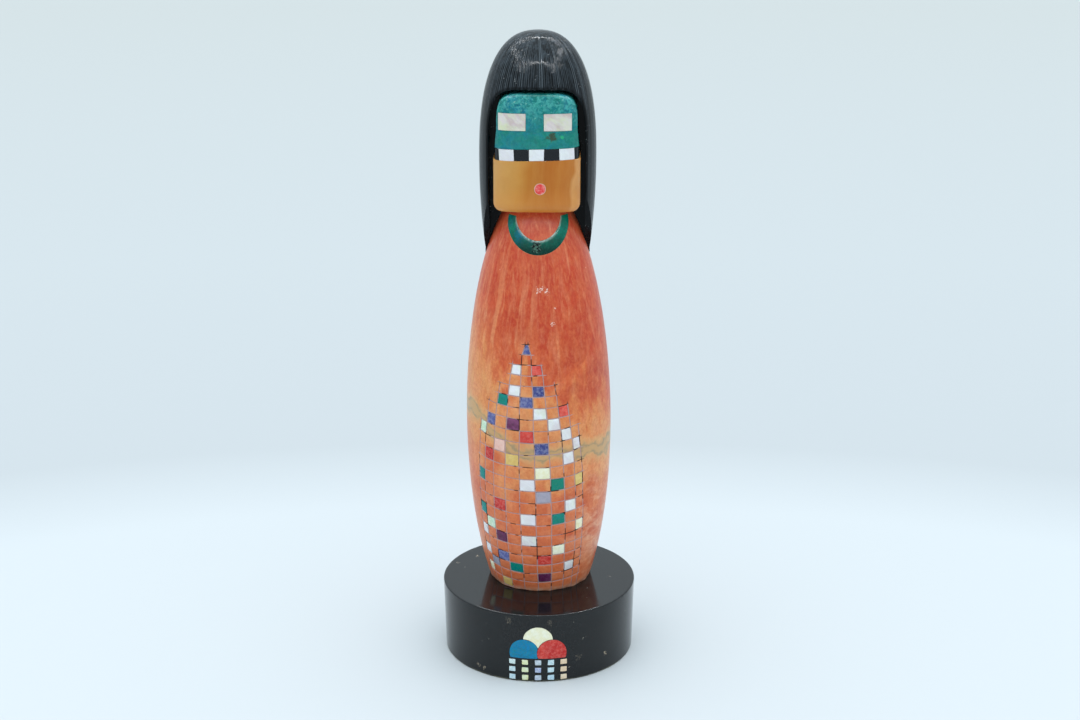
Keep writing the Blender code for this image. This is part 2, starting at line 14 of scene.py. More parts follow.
import bmesh
import bpy
import numpy as np
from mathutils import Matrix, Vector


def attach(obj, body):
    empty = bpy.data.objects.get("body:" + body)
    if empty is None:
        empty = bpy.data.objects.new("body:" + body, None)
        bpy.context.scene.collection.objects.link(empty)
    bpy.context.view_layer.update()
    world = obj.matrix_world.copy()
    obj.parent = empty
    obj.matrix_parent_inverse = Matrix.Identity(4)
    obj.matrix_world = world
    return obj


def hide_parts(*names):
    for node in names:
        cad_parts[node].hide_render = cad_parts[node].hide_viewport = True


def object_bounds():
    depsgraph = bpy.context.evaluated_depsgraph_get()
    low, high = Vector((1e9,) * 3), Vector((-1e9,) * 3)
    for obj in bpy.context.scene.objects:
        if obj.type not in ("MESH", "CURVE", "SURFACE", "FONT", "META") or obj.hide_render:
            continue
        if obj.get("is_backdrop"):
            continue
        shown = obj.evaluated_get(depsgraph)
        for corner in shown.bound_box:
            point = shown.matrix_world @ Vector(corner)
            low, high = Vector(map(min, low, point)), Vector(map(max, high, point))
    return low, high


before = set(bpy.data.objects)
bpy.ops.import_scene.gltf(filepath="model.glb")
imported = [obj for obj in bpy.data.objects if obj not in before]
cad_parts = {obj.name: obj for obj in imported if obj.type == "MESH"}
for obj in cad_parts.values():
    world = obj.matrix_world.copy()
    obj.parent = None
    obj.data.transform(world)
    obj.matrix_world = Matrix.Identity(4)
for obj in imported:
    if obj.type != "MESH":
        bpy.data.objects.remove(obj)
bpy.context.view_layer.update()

# %% [markdown]
# ## Sizes
#
# Blender works in metres here. The sizes are those of the solids, so a piece made from them lands
# where its solid is, with no fitting. Heights on the figure are measured from the plinth's top.

# %% Sizes of the plinth and of the figure's main stones
MM = 0.001
JOINT = 0.05 * MM

PLINTH_RADIUS, PLINTH_HEIGHT, PLINTH_TAPER = 40 * MM, 30 * MM, 0.8 * MM
FIGURE_X, FIGURE_Y, LEAN = 0.5 * MM, 4 * MM, math.radians(0.458)
BEND, BEND_HEIGHT = math.radians(0.60), 133 * MM

BODY_RADIUS, BELLY, BODY_LOWER, BODY_UPPER = 29.55 * MM, 68.7 * MM, 94.6 * MM, 100.3 * MM
BODY_LOWER_POWER, BODY_UPPER_POWER, NECK = 2.065, 1.96, 158.9 * MM
BED_SLOPE, LEDGE = 0.347, 108 * MM

HAIR_RADIUS, HAIR_WIDEST, HAIR_CROWN, HAIR_FALL = 23.17 * MM, 177.6 * MM, 50.4 * MM, 83.1 * MM
HAIR_CROWN_POWER, HAIR_BLEND = 2.47, 3 * MM
HAIR_LOW, HAIR_TOP = LEDGE - HAIR_BLEND, HAIR_WIDEST + HAIR_CROWN
RECESS_HALF, RECESS_TOP, RECESS_POWER, RECESS_BACK = 18.9 * MM, 207.9 * MM, 4.25, 0.3 * MM
LOCK_TOP, LOCK_FRONT, LOCK_LOW, LOCK_BACK = 165 * MM, 12.9 * MM, 140 * MM, 1 * MM

# %% [markdown]
# ## Forms that every stone shares
#
# The body is two half ovals turned on a lathe, and the hood is a rounder one. They could be drawn
# as curves and spun. Written as formulas over whole arrays of heights, the same few lines serve a
# coarse cutter and a fine surface.


# %% Outlines of the body and of the hood
def body_radius(height):
    """Radius of the body's stone at a height above the plinth."""
    rise = np.asarray(height, float) - BELLY
    above = 1 - (np.maximum(rise, 0) / BODY_UPPER) ** BODY_UPPER_POWER
    below = 1 - (np.maximum(-rise, 0) / BODY_LOWER) ** BODY_LOWER_POWER
    upper = np.maximum(above, 0) ** (1 / BODY_UPPER_POWER)
    lower = np.maximum(below, 0) ** (1 / BODY_LOWER_POWER)
    return BODY_RADIUS * np.where(rise >= 0, upper, lower)


def hood_radius(height):
    """Radius of the hood at a height above the plinth."""
    rise = np.asarray(height, float) - HAIR_WIDEST
    above = 1 - (np.maximum(rise, 0) / HAIR_CROWN) ** HAIR_CROWN_POWER
    below = 1 - (np.maximum(-rise, 0) / HAIR_FALL) ** 2
    crown = np.maximum(above, 0) ** (1 / HAIR_CROWN_POWER)
    fall = np.sqrt(np.maximum(below, 0))
    return HAIR_RADIUS * np.where(rise >= 0, crown, fall)


def smooth_step(low, high, value):
    """From 0 to 1 between two limits, with no corner at either."""
    t = np.clip((np.asarray(value, float) - low) / (high - low), 0, 1)
    return t * t * (3 - 2 * t)


def hair_radius(height, backness):
    """The hood above and the body below, which blend into each other at the nape."""
    hood, body = hood_radius(height), body_radius(height)
    overlap = np.maximum(HAIR_BLEND - np.abs(hood - body), 0)
    return np.maximum(hood, body) + overlap**2 / (4 * HAIR_BLEND) * smooth_step(0.4, 0.8, backness)


def stand(points, turn=0.0):
    """Takes points from the figure's own frame to where it stands: turned, leaned and moved."""
    x, y, z = np.asarray(points, float).reshape(-1, 3).T
    across = x * math.cos(turn) - y * math.sin(turn)
    along = x * math.sin(turn) + y * math.cos(turn)
    aside = math.tan(BEND) * np.maximum(z - BEND_HEIGHT, 0) - math.tan(LEAN) * z
    return np.stack([across + aside + FIGURE_X, along + FIGURE_Y, z + PLINTH_HEIGHT], 1)


print("radius of the body at the belly:", round(float(body_radius(BELLY)), 5), "m")
print("radius of the hood at its widest:", round(float(hood_radius(HAIR_WIDEST)), 5), "m")

# %% [markdown]
# ## Hand tools
#
# A few small helpers do most of the making. `skin` closes a stack of rings into a solid, and
# `stood` moves it to where the figure stands. `make_piece` turns points and faces into a Blender
# object. `carve` cuts one solid from another. `stand_for` fixes a piece to the figure and hides
# the solid it replaces. Blender's own tools could extrude and spin the same forms, but points from
# formulas land exactly where the solids are.


# %% Skin and stood
def skin(rings, first_hub, last_hub):
    """Points and faces of a closed solid over rings of equal length, with a hub at each end."""
    rings = np.asarray(rings, float)
    rows, count = rings.shape[:2]
    points = np.vstack([rings.reshape(-1, 3), [first_hub], [last_hub]])
    here = np.arange(count)
    ahead = (here + 1) % count
    faces = []
    for row in range(rows - 1):
        under, over = row * count, (row + 1) * count
        faces += np.stack([under + here, under + ahead, over + ahead, over + here], 1).tolist()
    for start, hub in ((0, rows * count), ((rows - 1) * count, rows * count + 1)):
        faces += np.stack([start + here, start + ahead, np.full(count, hub)], 1).tolist()
    return points, faces


def stood(solid, turn=0.0):
    """The same solid, moved to where the figure stands."""
    points, faces = solid
    return stand(points, turn), faces


# %% Piece, carve and stand for
SHARP_ANGLE = 35


def shade(piece, sharp):
    """Smooth shading, broken at edges that turn by more than the angle."""
    piece.data.shade_smooth()
    piece.data.set_sharp_from_angle(angle=math.radians(sharp))


def make_piece(name, solid, material=None, sharp=SHARP_ANGLE):
    """A Blender object from points and faces, with all its faces looking outwards."""
    points, faces = solid
    mesh = bpy.data.meshes.new(name)
    mesh.from_pydata(points.tolist(), [], faces)
    work = bmesh.new()
    work.from_mesh(mesh)
    bmesh.ops.recalc_face_normals(work, faces=work.faces)
    work.to_mesh(mesh)
    work.free()
    piece = bpy.data.objects.new(name, mesh)
    bpy.context.scene.collection.objects.link(piece)
    if material:
        mesh.materials.append(material)
    shade(piece, sharp)
    return piece


def carve(piece, cutter):
    """Cuts the cutter's shape out of the piece, keeps the result as its mesh, and drops the cutter."""
    cut = piece.modifiers.new("cut", "BOOLEAN")
    cut.operation, cut.solver, cut.object = "DIFFERENCE", "MANIFOLD", cutter
    graph = bpy.context.evaluated_depsgraph_get()
    carved = bpy.data.meshes.new_from_object(piece.evaluated_get(graph))
    old, piece.data = piece.data, carved
    piece.modifiers.clear()
    bpy.data.meshes.remove(old)
    carved.name = piece.name
    shade(piece, SHARP_ANGLE)
    bpy.data.objects.remove(cutter)


def stand_for(piece, slot, *nodes):
    """Fixes the piece to the figure and hides the solids it replaces. The slot, the finish it stands for, is
    not used.
    """
    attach(piece, "root")
    if nodes:
        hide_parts(*nodes)
    return piece


# %% [markdown]
# ## Effects that several stones share
#
# Real stone is never one colour. Each effect below is a node group with named inputs, built once
# and used in many stones with other values. A group puts out only masks and heights. The shader
# itself stays in each material, where an exporter can read it.


# %% Helpers that add nodes
def add_node(tree, kind, inputs=None, **settings):
    """Adds a node. Inputs are numbers, colours or other nodes' sockets."""
    made = tree.nodes.new("ShaderNode" + kind)
    for name, value in settings.items():
        setattr(made, name, value)
    for name, value in (inputs or {}).items():
        if isinstance(value, bpy.types.NodeSocket):
            tree.links.new(value, made.inputs[name])
        else:
            made.inputs[name].default_value = value
    return made


def mix(tree, share, first, second):
    """Mixes two colours by a mask."""
    return add_node(tree, "Mix", {0: share, 6: first, 7: second}, data_type="RGBA").outputs[2]


def math_node(tree, operation, first, second=0.5):
    return add_node(tree, "Math", {0: first, 1: second}, operation=operation).outputs[0]


def plus(tree, first, second):
    return math_node(tree, "ADD", first, second)


def minus(tree, first, second):
    return math_node(tree, "SUBTRACT", first, second)


def times(tree, first, second):
    return math_node(tree, "MULTIPLY", first, second)


def remap(tree, value, low, high, to_low=0.0, to_high=1.0):
    """Stretches a value from one pair of limits to another, and stops it there."""
    inputs = {"Value": value, "From Min": low, "From Max": high, "To Min": to_low, "To Max": to_high}
    return add_node(tree, "MapRange", inputs, clamp=True).outputs[0]


def between(tree, mask, first, last):
    """A value that goes from the first to the last as the mask goes from 0 to 1."""
    return remap(tree, mask, 0.0, 1.0, first, last)


# %% Helpers for noise and places
def noise(tree, place, scale, detail=4.0, roughness=0.55, distortion=0.0):
    """A cloudy noise: its Fac is one grey value, its Color is three."""
    inputs = {"Vector": place, "Scale": scale, "Detail": detail, "Roughness": roughness}
    return add_node(tree, "TexNoise", {**inputs, "Distortion": distortion}).outputs


def vector_node(tree, operation, first, second):
    return add_node(tree, "VectorMath", {0: first, 1: second}, operation=operation).outputs[0]


def axes(tree, place):
    """The X, Y and Z of a place."""
    return add_node(tree, "SeparateXYZ", {0: place}).outputs


def turned(tree, place, angles):
    """The place, turned about the three axes."""
    inputs = {"Vector": place, "Rotation": angles}
    return add_node(tree, "VectorRotate", inputs, rotation_type="EULER_XYZ").outputs[0]


def pushed_about(tree, place, push, reach):
    """The place, pushed by a noise's three values, which lie round 0.5, times a reach in metres."""
    away = vector_node(tree, "SUBTRACT", push, (0.5, 0.5, 0.5))
    away = add_node(tree, "VectorMath", {0: away, "Scale": reach}, operation="SCALE").outputs[0]
    return vector_node(tree, "ADD", place, away)


# %% Helpers for groups
def new_group(name, output, **inputs):
    """A node group, its input sockets and its one output socket. An input of None is a place."""
    group = bpy.data.node_groups.new(name, "ShaderNodeTree")
    for label, value in inputs.items():
        kind = "NodeSocketVector" if value is None else "NodeSocketFloat"
        socket = group.interface.new_socket(label, in_out="INPUT", socket_type=kind)
        if value is not None:
            socket.default_value = value
    group.interface.new_socket(output, in_out="OUTPUT", socket_type="NodeSocketFloat")
    given = group.nodes.new("NodeGroupInput").outputs
    return group, given, group.nodes.new("NodeGroupOutput").inputs[output]


def use(tree, group, **inputs):
    """Places a group in a material, with values of its own."""
    return add_node(tree, "Group", inputs, node_tree=group).outputs[0]


# %% [markdown]
# **Blotches** are soft clouds of colour, with their edges pushed about by a second noise. They
# make the mottling of turquoise, coral and shell.

# %% Blotches
MIDDLE_GREY = 0.52
blotches, given, put = new_group("blotches", "Mask", Place=None, Scale=300.0, Warp=0.5, Edge=0.1)
tree = blotches
push = noise(tree, given["Place"], given["Scale"], 2.0)["Color"]
warp = math_node(tree, "DIVIDE", given["Warp"], given["Scale"])
warped = pushed_about(tree, given["Place"], push, warp)
grey = noise(tree, warped, given["Scale"], 5.0, 0.6)["Fac"]
first, last = minus(tree, MIDDLE_GREY, given["Edge"]), plus(tree, MIDDLE_GREY, given["Edge"])
tree.links.new(remap(tree, grey, first, last), put)
print("group:", blotches.name)


def blotch(tree, place, scale, warp, edge):
    """Mask of blotches. A higher scale makes them smaller, a wider edge makes them softer."""
    return use(tree, blotches, Place=place, Scale=scale, Warp=warp, Edge=edge)


# %% [markdown]
# **Streaks** are the same noise pulled long in the height, as in stone whose layers were cut
# upright. A slow second noise keeps them from running dead straight. They make the flames of the
# body and the bands of the onyx.

# %% Streaks
SLOW_SCALE, SLOW_REACH = 30.0, 0.012
streaks, given, put = new_group(
    "streaks", "Mask", Place=None, Scale=200.0, Stretch=0.2, Low=0.45, High=0.65,
)
tree = streaks
push = noise(tree, given["Place"], SLOW_SCALE, 2.0)["Color"]
pushed = pushed_about(tree, given["Place"], push, SLOW_REACH)
pull = add_node(tree, "CombineXYZ", {"X": 1.0, "Y": 1.0, "Z": given["Stretch"]}).outputs[0]
pulled = vector_node(tree, "MULTIPLY", pushed, pull)
grain = noise(tree, pulled, given["Scale"], 6.0, 0.62)["Fac"]
tree.links.new(remap(tree, grain, given["Low"], given["High"]), put)
print("group:", streaks.name)


def streak(tree, place, scale, stretch, low, high):
    """Mask of streaks. A lower stretch makes them longer, and low and high set how many show."""
    return use(tree, streaks, Place=place, Scale=scale, Stretch=stretch, Low=low, High=high)


# %% [markdown]
# **Scuffs** are short pale scratches from handling. Two sets of very stretched noise, laid across
# each other, show only inside rough patches, so that they come in small clusters.

# %% Scuffs
SCRATCHES_ALONG, SCRATCHES_ACROSS = ((0.3, 0.5, 0.9), 160.0), ((-0.6, 0.2, -0.5), 220.0)
scuffs, given, put = new_group("scuffs", "Mask", Place=None, Amount=0.5)
tree = scuffs
scratches = []
for angles, length in (SCRATCHES_ALONG, SCRATCHES_ACROSS):
    pulled = turned(tree, given["Place"], angles)
    pulled = vector_node(tree, "MULTIPLY", pulled, (length, 2200.0, 1500.0))
    scratches.append(remap(tree, noise(tree, pulled, 1.0, 2.0, 0.5)["Fac"], 0.66, 0.72))
rough = noise(tree, given["Place"], 190.0, 3.0, 0.7)["Fac"]
rough = minus(tree, rough, between(tree, given["Amount"], 0.80, 0.42))
patches = remap(tree, rough, 0.0, 0.06)
tree.links.new(times(tree, math_node(tree, "MAXIMUM", *scratches), patches), put)
print("group:", scuffs.name)

# %% [markdown]
# **Polish** is the faint relief that a hand-polished stone keeps: slow waves, and tiny pits. It
# feeds a Bump node and only shows in the reflections.

# %% Polish
polish, given, put = new_group("polish", "Height", Place=None, Waves=120.0, Pits=2600.0, Pitting=0.5)
tree = polish
waves = noise(tree, given["Place"], given["Waves"], 2.0)["Fac"]
pits = remap(tree, noise(tree, given["Place"], given["Pits"], 3.0, 0.7)["Fac"], 0.62, 0.75)
tree.links.new(minus(tree, waves, times(tree, pits, given["Pitting"])), put)
print("group:", polish.name)


# %% [markdown]
# ## Stones
#
# A stone starts from a shader with its roughness set, the place of each point in the object, and
# a polish. What varies over the surface is then linked in, stone by stone. Colours are written as
# seen on a screen, from 0 to 255, and turned into the linear numbers that the shader wants. Most
# of a stone's colours are laid over a first one, each through a mask, as a painter glazes.


# %% Colour and the start of a stone
def seen(red, green, blue):
    """The linear colour of one given as a screen shows it."""
    screen = (red, green, blue)
    linear = [((c / 255 + 0.055) / 1.055) ** 2.4 if c > 10 else c / 255 / 12.92 for c in screen]
    return (*linear, 1.0)


def lay(tree, colour, over, mask, share=None):
    """The colour with another laid over it through a mask, at its full strength or at a share."""
    if share is not None:
        mask = times(tree, mask, share)
    return mix(tree, mask, colour, seen(*over))


def new_stone(name, roughness, relief=0.02, waves=120.0, pits=2600.0, pitting=0.5, level=0.3):
    """A material with its shader, tree and place, and a polish of the given relief in millimetres."""
    material = bpy.data.materials.new(name)
    material.use_nodes = True
    tree = material.node_tree
    shader = tree.nodes["Principled BSDF"]
    shader.inputs["Roughness"].default_value = roughness
    shader.inputs["Specular IOR Level"].default_value = level
    place = add_node(tree, "TexCoord").outputs["Object"]
    height = use(tree, polish, Place=place, Waves=waves, Pits=pits, Pitting=pitting)
    bump = add_node(tree, "Bump", {"Height": height, "Strength": 0.6, "Distance": relief * MM})
    tree.links.new(bump.outputs[0], shader.inputs["Normal"])
    return material, tree, shader, place


def link_colour(tree, shader, colour, roughness=None):
    """Links what varies over the surface to the shader."""
    tree.links.new(colour, shader.inputs["Base Color"])
    if roughness is not None:
        tree.links.new(roughness, shader.inputs["Roughness"])


print("a screen's middle grey is", round(seen(128, 128, 128)[0], 3), "to the shader")

# %% [markdown]
# Three more helpers place colour. A ramp runs through colours along a value. A painted value is a
# number that the mesh carries at each point, such as how deep a groove is there. A knot is one
# ragged spot: the distance from a point, pushed about by noise.


# %% Ramp, painted values and knots
def ramp(tree, value, stops):
    """Colours along a value from 0 to 1."""
    made = add_node(tree, "ValToRGB", {0: value})
    elements = made.color_ramp.elements
    elements[0].position, elements[0].color = stops[0][0], seen(*stops[0][1])
    elements[1].position, elements[1].color = stops[-1][0], seen(*stops[-1][1])
    for position, colour in stops[1:-1]:
        elements.new(position).color = seen(*colour)
    return made.outputs[0]


def painted(tree, name):
    """A number that the mesh carries at each of its points."""
    return add_node(tree, "Attribute", attribute_name=name, attribute_type="GEOMETRY").outputs["Fac"]


def knot(tree, place, centre, radius, ragged=0.5):
    """Mask of one ragged spot round a point, in metres."""
    away = add_node(tree, "VectorMath", {0: place, 1: centre}, operation="DISTANCE").outputs["Value"]
    push = noise(tree, place, 900.0, 3.0)["Fac"]
    push = remap(tree, push, 0.3, 0.7, -ragged * radius, ragged * radius)
    return remap(tree, plus(tree, away, push), radius * 1.1, radius * 0.7)


# %% [markdown]
# The small plates are cut from a dozen stones. One recipe serves them: a base, a second colour in
# blotches, and flecks of a third. Only the colours, the grain and the polish differ, so they stand
# in a table. Each plate also carries a tint, its own place between the two colours.


# %% Plate stones
def plate_stone(name, base, second, fleck, scale=260.0, fleck_scale=900.0, flecks=0.35, roughness=0.25):
    """A mottled stone. Scales set the size of the blotches and of the flecks."""
    material, tree, shader, place = new_stone(name, roughness)
    mottle = times(tree, blotch(tree, place, scale, 1.2, 0.16), 0.6)
    spots = times(tree, blotch(tree, place, fleck_scale, 0.6, 0.08), flecks)
    share = plus(tree, mottle, between(tree, painted(tree, "tint"), -0.25, 0.65))
    colour = mix(tree, share, seen(*base), seen(*second))
    colour = lay(tree, colour, fleck, spots)
    link_colour(tree, shader, colour, between(tree, spots, roughness, roughness + 0.15))
    return material


PLATE_STONES = {
    "turquoise": ((2, 130, 108), (0, 136, 136), (20, 96, 78)),
    "shell": ((240, 240, 214), (236, 220, 150), (246, 246, 234), 180, 700, 0.4),
    "coral_red": ((188, 34, 34), (236, 92, 76), (240, 150, 136), 300, 900, 0.22),
    "lapis": ((56, 62, 124), (104, 110, 168), (190, 194, 216), 300, 800, 0.26),
    "sugilite": ((94, 30, 72), (148, 84, 128), (56, 14, 42), 320, 900, 0.5),
    "amber": ((212, 168, 78), (230, 204, 132), (186, 136, 50), 200, 800, 0.3),
    "sea_shell": ((190, 222, 196), (232, 230, 176), (238, 246, 236), 170, 700, 0.4),
    "grey_shell": ((150, 150, 168), (182, 172, 184), (124, 130, 148), 220, 800, 0.4),
    "pink_shell": ((232, 172, 150), (238, 204, 192), (216, 140, 116), 200, 800, 0.4),
    "blue_turquoise": ((0, 126, 176), (0, 140, 152), (20, 90, 86), 330, 1200, 0.45),
    "blue_shell": ((176, 208, 226), (212, 230, 226), (236, 244, 246), 200, 900, 0.4),
    "lilac_shell": ((160, 172, 212), (196, 212, 204), (226, 230, 240), 200, 900, 0.4),
    "tan_shell": ((230, 204, 172), (240, 226, 198), (214, 184, 148), 200, 900, 0.4),
    "jet": ((16, 20, 25), (23, 28, 34), (40, 45, 52), 300, 1500, 0.12, 0.18),
}
plates = {kind: plate_stone(f"plate_{kind}", *values) for kind, values in PLATE_STONES.items()}
print("plate stones:", len(plates))

# %% [markdown]
# Mother of pearl is white from afar and pink, green and gold close up. Its layers give broad
# bands of tint, crossed by fine growth lines that also show in the gloss. A thin clear coat gives
# it the wet shine that the other stones don't have.

# %% Mother of pearl
LAYERS_TILT = 0.8


def pearl_stone(name, base, strength):
    """Pearl, whose pink and green show by the given strength."""
    material, tree, shader, place = new_stone(name, 0.2, relief=0.03, waves=420.0, pitting=0.2)
    layers = turned(tree, place, (0.0, LAYERS_TILT, 0.0))
    strength = times(tree, between(tree, painted(tree, "tint"), 0.5, 1.3), strength)
    pink = streak(tree, layers, 170.0, 0.6, 0.46, 0.6)
    green = blotch(tree, place, 200.0, 2.0, 0.12)
    lines = streak(tree, layers, 1300.0, 0.25, 0.4, 0.7)
    colour = lay(tree, seen(*base), (212, 228, 156), green, strength)
    colour = lay(tree, colour, (188, 144, 158), pink, strength)
    colour = lay(tree, colour, (196, 192, 204), lines, 0.25)
    link_colour(tree, shader, colour, between(tree, lines, 0.16, 0.3))
    shader.inputs["Coat Weight"].default_value = 0.3
    shader.inputs["Coat Roughness"].default_value = 0.08
    return material


plates["pearl"] = pearl_stone("plate_pearl", (238, 238, 242), 0.3)
eye_pearl = pearl_stone("eye_pearl", (226, 216, 210), 1.0)
print("pearl:", plates["pearl"].name, eye_pearl.name)

# %% [markdown]
# ## The body's stone
#
# The body's stone is the figure's glory. It is coral red at the shoulders and warm orange at the
# foot, with a sandy belt between, and pale flames lick upwards through it. The flames lean
# inwards. For that, X and Y are multiplied by a number that grows with Z. A streak follows one
# value of that product, so it comes nearer to the middle as it rises. The masks come first.

# %% Masks of the body's stone
UPRIGHT_HEIGHT, LEAN_INWARDS = 0.110, 13.0
body_stone, tree, shader, place = new_stone("body_stone", 0.3, relief=0.05, waves=90.0, pits=1500.0)
where = axes(tree, place)
gather = times(tree, minus(tree, where["Z"], UPRIGHT_HEIGHT), LEAN_INWARDS)
gather = math_node(tree, "EXPONENT", gather)
inwards = {axis: times(tree, where[axis], gather) for axis in "XY"}
leaning_place = add_node(tree, "CombineXYZ", {**inwards, "Z": where["Z"]}).outputs[0]

flames = streak(tree, leaning_place, 80.0, 0.3, 0.36, 0.66)
tongues = streak(tree, leaning_place, 260.0, 0.22, 0.38, 0.66)
licks = streak(tree, leaning_place, 170.0, 0.15, 0.50, 0.60)
thin = streak(tree, leaning_place, 240.0, 0.2, 0.52, 0.72)
fibres = streak(tree, leaning_place, 620.0, 0.3, 0.50, 0.68)
clouds = blotch(tree, place, 48.0, 2.4, 0.13)
swirls = blotch(tree, leaning_place, 105.0, 3.8, 0.1)
wisps = blotch(tree, leaning_place, 190.0, 3.0, 0.11)
grains = blotch(tree, place, 800.0, 1.4, 0.09)
print("masks of the body's stone: 9")

# %% [markdown]
# The ramp gives the colour at each height. Flames and tongues push that height up and down by a
# centimetre or two, which frays the belt. The layers of the real stone lie tilted, so the height
# also rises to the right. Red clouds lie over all of it, more faintly over the belt.

# %% Colour by height
SLOPE, RAMP_LOW, RAMP_HIGH, BELT = 0.42, 0.030, 0.190, 0.45
drift = plus(tree, between(tree, flames, -0.012, 0.014), between(tree, tongues, -0.010, 0.009))
tilted = plus(tree, where["Z"], times(tree, where["X"], SLOPE))
level = remap(tree, plus(tree, tilted, drift), RAMP_LOW, RAMP_HIGH)
colour = ramp(tree, level, [
    (0.00, (220, 122, 76)), (0.16, (219, 115, 67)), (0.28, (224, 128, 76)), (0.36, (230, 151, 91)),
    (0.44, (233, 167, 107)), (0.52, (232, 149, 85)), (0.60, (218, 104, 56)), (0.72, (204, 75, 40)),
    (0.88, (198, 67, 39)), (1.00, (202, 80, 54)),
])
off_belt = math_node(tree, "ABSOLUTE", minus(tree, level, BELT))
colour = lay(tree, colour, (182, 50, 28), clouds, remap(tree, off_belt, 0.04, 0.2, 0.3, 0.62))
print("the ramp runs from", RAMP_LOW, "to", RAMP_HIGH, "m")

# %% [markdown]
# Some colours keep to one place. A yellow flank lies at the left above the vein, with pale flames
# rising out of it, more of them at the lower left, and pink swirls at the lower right. Three
# regions of the chest are a deeper red. Each is a noise held to its place by soft limits in X and
# Z. The finer layers, from wisps down to grains, then run over everything.


# %% Local colours of the body
def held_to(tree, where, mask, share, *limits):
    """A mask that fades in from the first to the second limit of each given axis."""
    kept = times(tree, mask, share)
    for axis, first, second in limits:
        kept = times(tree, kept, remap(tree, where[axis], first, second))
    return kept


DEEP_RED = (172, 54, 36)
flank = between(tree, flames, 0.3, 0.9)
unlit = between(tree, flames, 1.0, 0.4)
for over, mask, share, *limits in (
    ((224, 160, 96), flank, 0.9, ("X", -0.015, -0.028), ("Z", 0.090, 0.108), ("Z", 0.160, 0.130)),
    ((234, 164, 118), flames, 0.4, ("X", -0.008, -0.018), ("Z", 0.097, 0.084)),
    ((234, 160, 110), licks, 0.5, ("X", 0.000, -0.008), ("Z", 0.098, 0.112), ("Z", 0.176, 0.152)),
    ((242, 192, 154), swirls, 0.6, ("X", 0.008, 0.020), ("Z", 0.094, 0.070)),
    (DEEP_RED, clouds, 0.65, ("X", 0.004, 0.016), ("Z", 0.110, 0.122), ("Z", 0.152, 0.140)),
    (
        DEEP_RED, unlit, 0.5,
        ("X", -0.005, 0.000), ("X", 0.009, 0.004), ("Z", 0.152, 0.160), ("Z", 0.177, 0.172),
    ),
    (
        DEEP_RED, unlit, 0.35,
        ("X", -0.015, -0.008), ("X", 0.008, 0.002), ("Z", 0.134, 0.142), ("Z", 0.158, 0.150),
    ),
):
    colour = lay(tree, colour, over, held_to(tree, where, mask, share, *limits))
for over, mask, share in (
    ((226, 128, 76), wisps, 0.36), ((236, 158, 114), thin, 0.46),
    ((240, 166, 124), fibres, 0.16), ((176, 54, 26), grains, 0.26),
):
    colour = lay(tree, colour, over, mask, share)
print("body stone with its local colours:", len(tree.nodes), "nodes")

# %% [markdown]
# One vein wanders round the body: a sandy core between two broken olive lines. The mesh carries
# how many millimetres each point is above or below its middle line, and a noise makes that line
# ragged. The few white chips on the chest are clusters of crumbs round five points, given as X
# and Z and found on the body's surface.

# %% Vein and chips of the body
ragged = remap(tree, noise(tree, place, 120.0, 3.0)["Fac"], 0.3, 0.7, -2.0, 2.0)
off_vein = math_node(tree, "ABSOLUTE", plus(tree, painted(tree, "vein"), ragged))
colour = lay(tree, colour, (210, 168, 116), remap(tree, off_vein, 5.5, 1.5, 0.0, 0.75))
colour = lay(tree, colour, (188, 154, 108), remap(tree, off_vein, 2.9, 1.5, 0.0, 0.55))
off_line = math_node(tree, "ABSOLUTE", minus(tree, off_vein, 1.6))
lines = remap(tree, off_line, 0.9, 0.1, 0.0, 0.6)
broken = remap(tree, noise(tree, place, 320.0, 3.0)["Fac"], 0.38, 0.56, 0.25, 0.95)
colour = lay(tree, colour, (132, 126, 104), lines, broken)

CHIPS = ((0.6, 160.2, 1.6), (2.8, 159.6, 1.2), (6.5, 153, 0.7), (5.5, 146.5, 0.8), (19, 165.5, 0.6))
crumbs = remap(tree, noise(tree, place, 1500.0, 2.0, 0.6, 0.6)["Fac"], 0.54, 0.58)
for x, z, radius in CHIPS:
    surface = float(body_radius(z * MM - PLINTH_HEIGHT))
    spot = (x * MM, FIGURE_Y - math.sqrt(surface**2 - (x * MM) ** 2), z * MM)
    chip = times(tree, knot(tree, place, spot, radius * MM, 0.7), crumbs)
    colour = lay(tree, colour, (246, 222, 208), chip, 0.8)
print("chips on the chest:", len(CHIPS))

# %% [markdown]
# Last come the signs of use and of the maker's hand: scuffs, a foot worn pale, and the scratched
# grooves of the cob, where grey cement has set and dirt has gathered in places. Cement is duller
# than polished stone.

# %% Wear and grooves of the body
colour = lay(tree, colour, (244, 214, 196), use(tree, scuffs, Place=place, Amount=0.34), 0.6)
worn = remap(tree, where["Z"], 0.0325, 0.0305)
colour = lay(tree, colour, (226, 184, 156), worn, between(tree, grains, 0.3, 0.9))
groove = remap(tree, painted(tree, "groove"), 0.05, 0.6)
dirt = remap(tree, noise(tree, place, 170.0, 2.0)["Fac"], 0.56, 0.60)
cement = lay(tree, seen(190, 160, 160), (58, 44, 42), dirt)
colour = mix(tree, groove, colour, cement)
dull = plus(tree, between(tree, groove, 0.3, 0.6), times(tree, grains, 0.06))
link_colour(tree, shader, colour, dull)
print("body stone has", len(tree.nodes), "nodes")

# %% [markdown]
# ## The other large stones
#
# The plinth is black marble, polished until it mirrors the figure's foot. Almost all that shows of
# it is reflection, so its colour is nearly black, and its life is in faint clouds, handling marks,
# eight small pale nicks and a thin olive line of bare stone along the lower edge.

